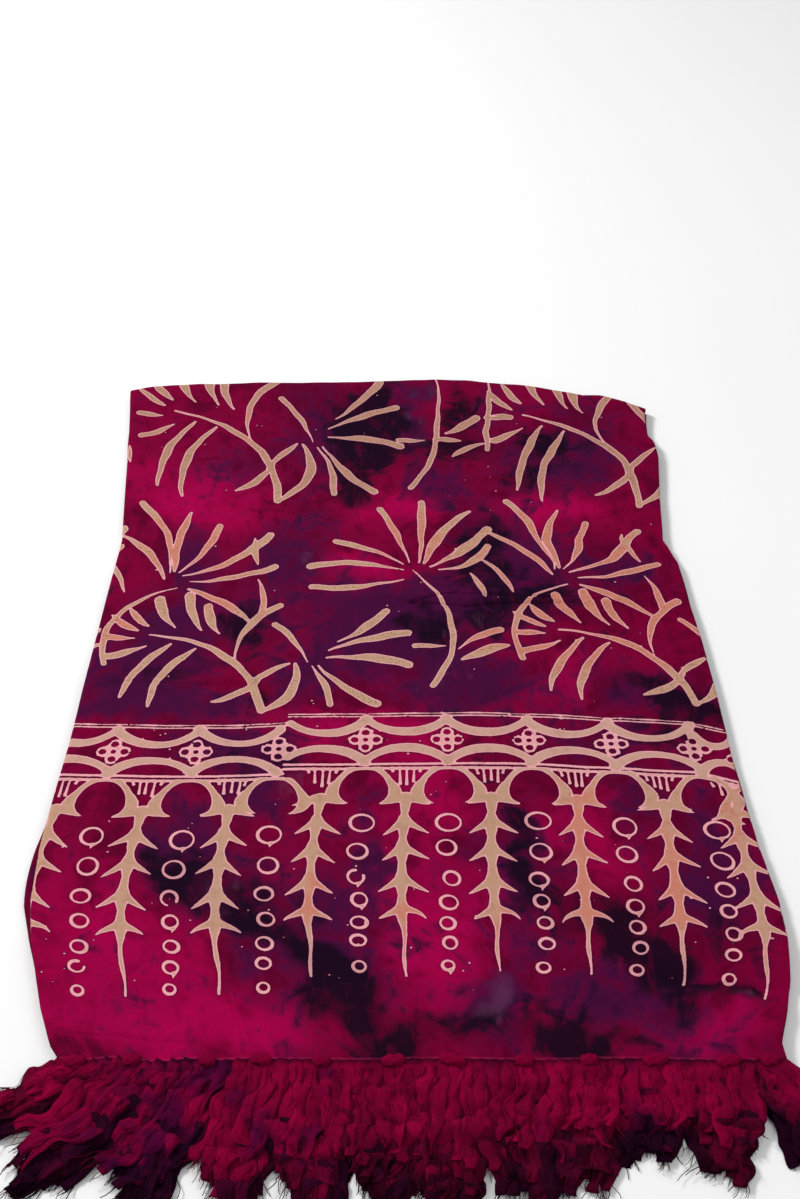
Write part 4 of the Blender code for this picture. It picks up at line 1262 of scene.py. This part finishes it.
def make_fringe_row(row, row_number):
    """One row of the fringe: soft crumpled locks with ragged ends and a few stray yarns."""
    dice = np.random.default_rng(40 + row_number)
    locks = [Lock(row, row_number, n, root, dice) for n, root in enumerate(lock_roots())]
    parts, triangles = [], []
    fields = {"tone": [], "plum": [], "dark": [], "around": [], "along": []}

    def add(points, lock, tone, along):
        count, rings, sides = points.shape[:3]
        first = sum(len(part) for part in parts)
        triangles.append(ring_triangles(count, rings, sides) + first)
        parts.append(points.reshape(-1, 3))
        around = np.arange(sides)[None, None] / sides * 2.0 * math.pi + lock.tone * 90.0
        around = around + np.arange(count)[:, None, None] * 3.7
        values = {"tone": lock.tone + tone, "plum": lock.plum, "dark": lock.dark,
                  "around": np.cos(around) * 3.0,
                  "along": np.broadcast_to(along, (count, rings))[:, :, None] * lock.length}
        for name, value in values.items():
            fields[name].append(np.broadcast_to(value, points.shape[:3]).reshape(-1))

    def add_loose(lock, loose, spread, lifted, thinnest, thickest, tone):
        yarns = lock_yarns(lock, loose, dice, spread, lifted)
        thick = dice.uniform(thinnest, thickest, len(yarns))
        add(yarn_points(yarns, thick), lock, tone, np.linspace(loose.first, loose.reach, loose.rings))

    strays = TOP_STRAYS if row_number == 0 else LOW_STRAYS
    for lock in locks:
        add(lock_body(lock, row.sides, dice)[None], lock, 0.0, lock.t)
        add_loose(lock, LOCK_ENDS, 0.9, 0.0, 0.00035, 0.00065, 0.2)
        add_loose(lock, strays, 0.8, lock.thick.max(), 0.00030, 0.00045, -0.1)
    points = np.concatenate(parts) - np.array([MIDDLE_X, MIDDLE_Y, 0.0])
    fields = {name: np.concatenate(values) for name, values in fields.items()}
    return sheet_mesh(row.name, points, np.concatenate(triangles), fields)


def make_knots(row, row_number):
    """The knot at the head of each tassel: a flat lump wound with slanting turns of yarn."""
    count = KNOT_RINGS * KNOT_SIDES
    u = np.linspace(0.0, math.pi, KNOT_RINGS)[:, None]
    v = np.linspace(0.0, 2.0 * math.pi, KNOT_SIDES, endpoint=False)[None]
    top_row = row_number == 0
    tall = KNOT_TALL if top_row else HIDDEN_KNOT_TALL
    height = STACK + 0.0014 if top_row else max(row.root, tall * 1.2)
    near = -0.0012 if top_row else -0.0026
    points, triangles, tones, plums = [], [], [], []
    for number, tassel in enumerate(TASSELS):
        wound = 1.0 + 0.12 * np.cos(2.0 * v + 7.0 * u + number) + 0.06 * np.cos(5.0 * v - 4.0 * u)
        wide = KNOT_WIDE * (1.0 + 0.20 * uneven(number + 9 * row_number))
        x = wide * np.cos(u) * np.ones_like(v)
        y = KNOT_DEEP * np.sin(u) ** 0.6 * np.cos(v) * wound
        z = tall * np.sin(u) ** 0.6 * np.sin(v) * wound
        lean = 0.22 * uneven(number + 5)
        x, y = x * math.cos(lean) - y * math.sin(lean), x * math.sin(lean) + y * math.cos(lean)
        hem = float(hem_line(np.array(tassel.knot)))
        lump = np.stack([x + tassel.knot - MIDDLE_X, y + hem + near - MIDDLE_Y, z + height], axis=-1)
        triangles.append(ring_triangles(1, KNOT_RINGS, KNOT_SIDES) + number * count)
        points.append(lump.reshape(-1, 3))
        tones.append(np.full(count, -0.3 + 0.3 * abs(uneven(number))))
        plums.append(np.full(count, row.plum + tassel.plum * 0.4))
    # Knots of the lower rows take their row's painted shade.
    fields = {"tone": np.concatenate(tones), "plum": np.concatenate(plums),
              "dark": np.full(len(TASSELS) * count, row.dark),
              "around": np.tile(np.repeat(np.cos(u.ravel()) * 9.0, KNOT_SIDES), len(TASSELS)),
              "along": np.tile(np.tile(0.010 + 0.004 * v.ravel(), KNOT_RINGS), len(TASSELS))}
    name = row.name.replace("yarn", "knots")
    return sheet_mesh(name, np.concatenate(points), np.concatenate(triangles), fields)


def dress(thing, material):
    thing.data.materials.append(material)
    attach(thing, "root")


pen = draw_print()
cloth_top = make_top_cloth(pen)
dress(cloth_top, cloth_finish("batik_cloth"))
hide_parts("cloth_top_layer")

# The layers below wear the same cloth, darkened all over with painted shade.
hidden_painted_shade_finish = cloth_finish("batik_cloth_below_painted_shade", 0.90)
hidden = [make_hidden_layer(layer) for layer in HIDDEN_LAYERS]
for thing in hidden:
    dress(thing, hidden_painted_shade_finish)
    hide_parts("cloth_under_layers")

yarn = yarn_finish("fringe_yarn")
for row_number, row in enumerate(FRINGE_ROWS):
    locks = make_fringe_row(row, row_number)
    knots = make_knots(row, row_number)
    for thing in (locks, knots):
        dress(thing, yarn)
        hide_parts(row.node)

# The surface, the light and the camera.
FLOOR_SIZE = 12.0
ROOM_LIGHT = 0.50
LENS = 54.1
SENSOR = 36.0
PITCH = math.radians(41.6)
DISTANCE = 1.684
LOOK_AT = Vector((0.0 - MIDDLE_X, 0.503 - MIDDLE_Y, STACK))

bpy.ops.object.select_all(action="DESELECT")
bpy.ops.mesh.primitive_plane_add(size=FLOOR_SIZE, location=(0.0, 0.0, 0.0))
floor = bpy.context.object
floor.name = "pale_floor"
floor.data.materials.append(floor_finish())

world = bpy.data.worlds.new("soft_room")
bpy.context.scene.world = world
world.use_nodes = True
room = world.node_tree.nodes["Background"]
room.inputs["Color"].default_value = (1.0, 1.0, 1.0, 1.0)
room.inputs["Strength"].default_value = ROOM_LIGHT


def add_light(name, place, size, power):
    """A round soft lamp that is aimed at the middle of the part."""
    light = bpy.data.lights.new(name, "AREA")
    light.shape = "DISK"
    light.size = size
    light.energy = power
    lamp = add_to_scene(name, light)
    lamp.location = place
    lamp.rotation_euler = (-Vector(place)).to_track_quat("-Z", "Y").to_euler()


add_light("key", (-2.2, 1.3, 2.2), 0.9, 92.0)
add_light("fill", (1.2, -0.9, 1.8), 1.6, 9.0)

camera_data = bpy.data.cameras.new("camera")
camera_data.lens = LENS
camera_data.sensor_width = SENSOR
camera = add_to_scene("camera", camera_data)
camera.location = LOOK_AT + Vector((0.0, -math.cos(PITCH), math.sin(PITCH))) * DISTANCE
camera.rotation_euler = (math.pi / 2.0 - PITCH, 0.0, 0.0)
bpy.context.scene.camera = camera
bpy.context.scene.view_settings.view_transform = "Standard"
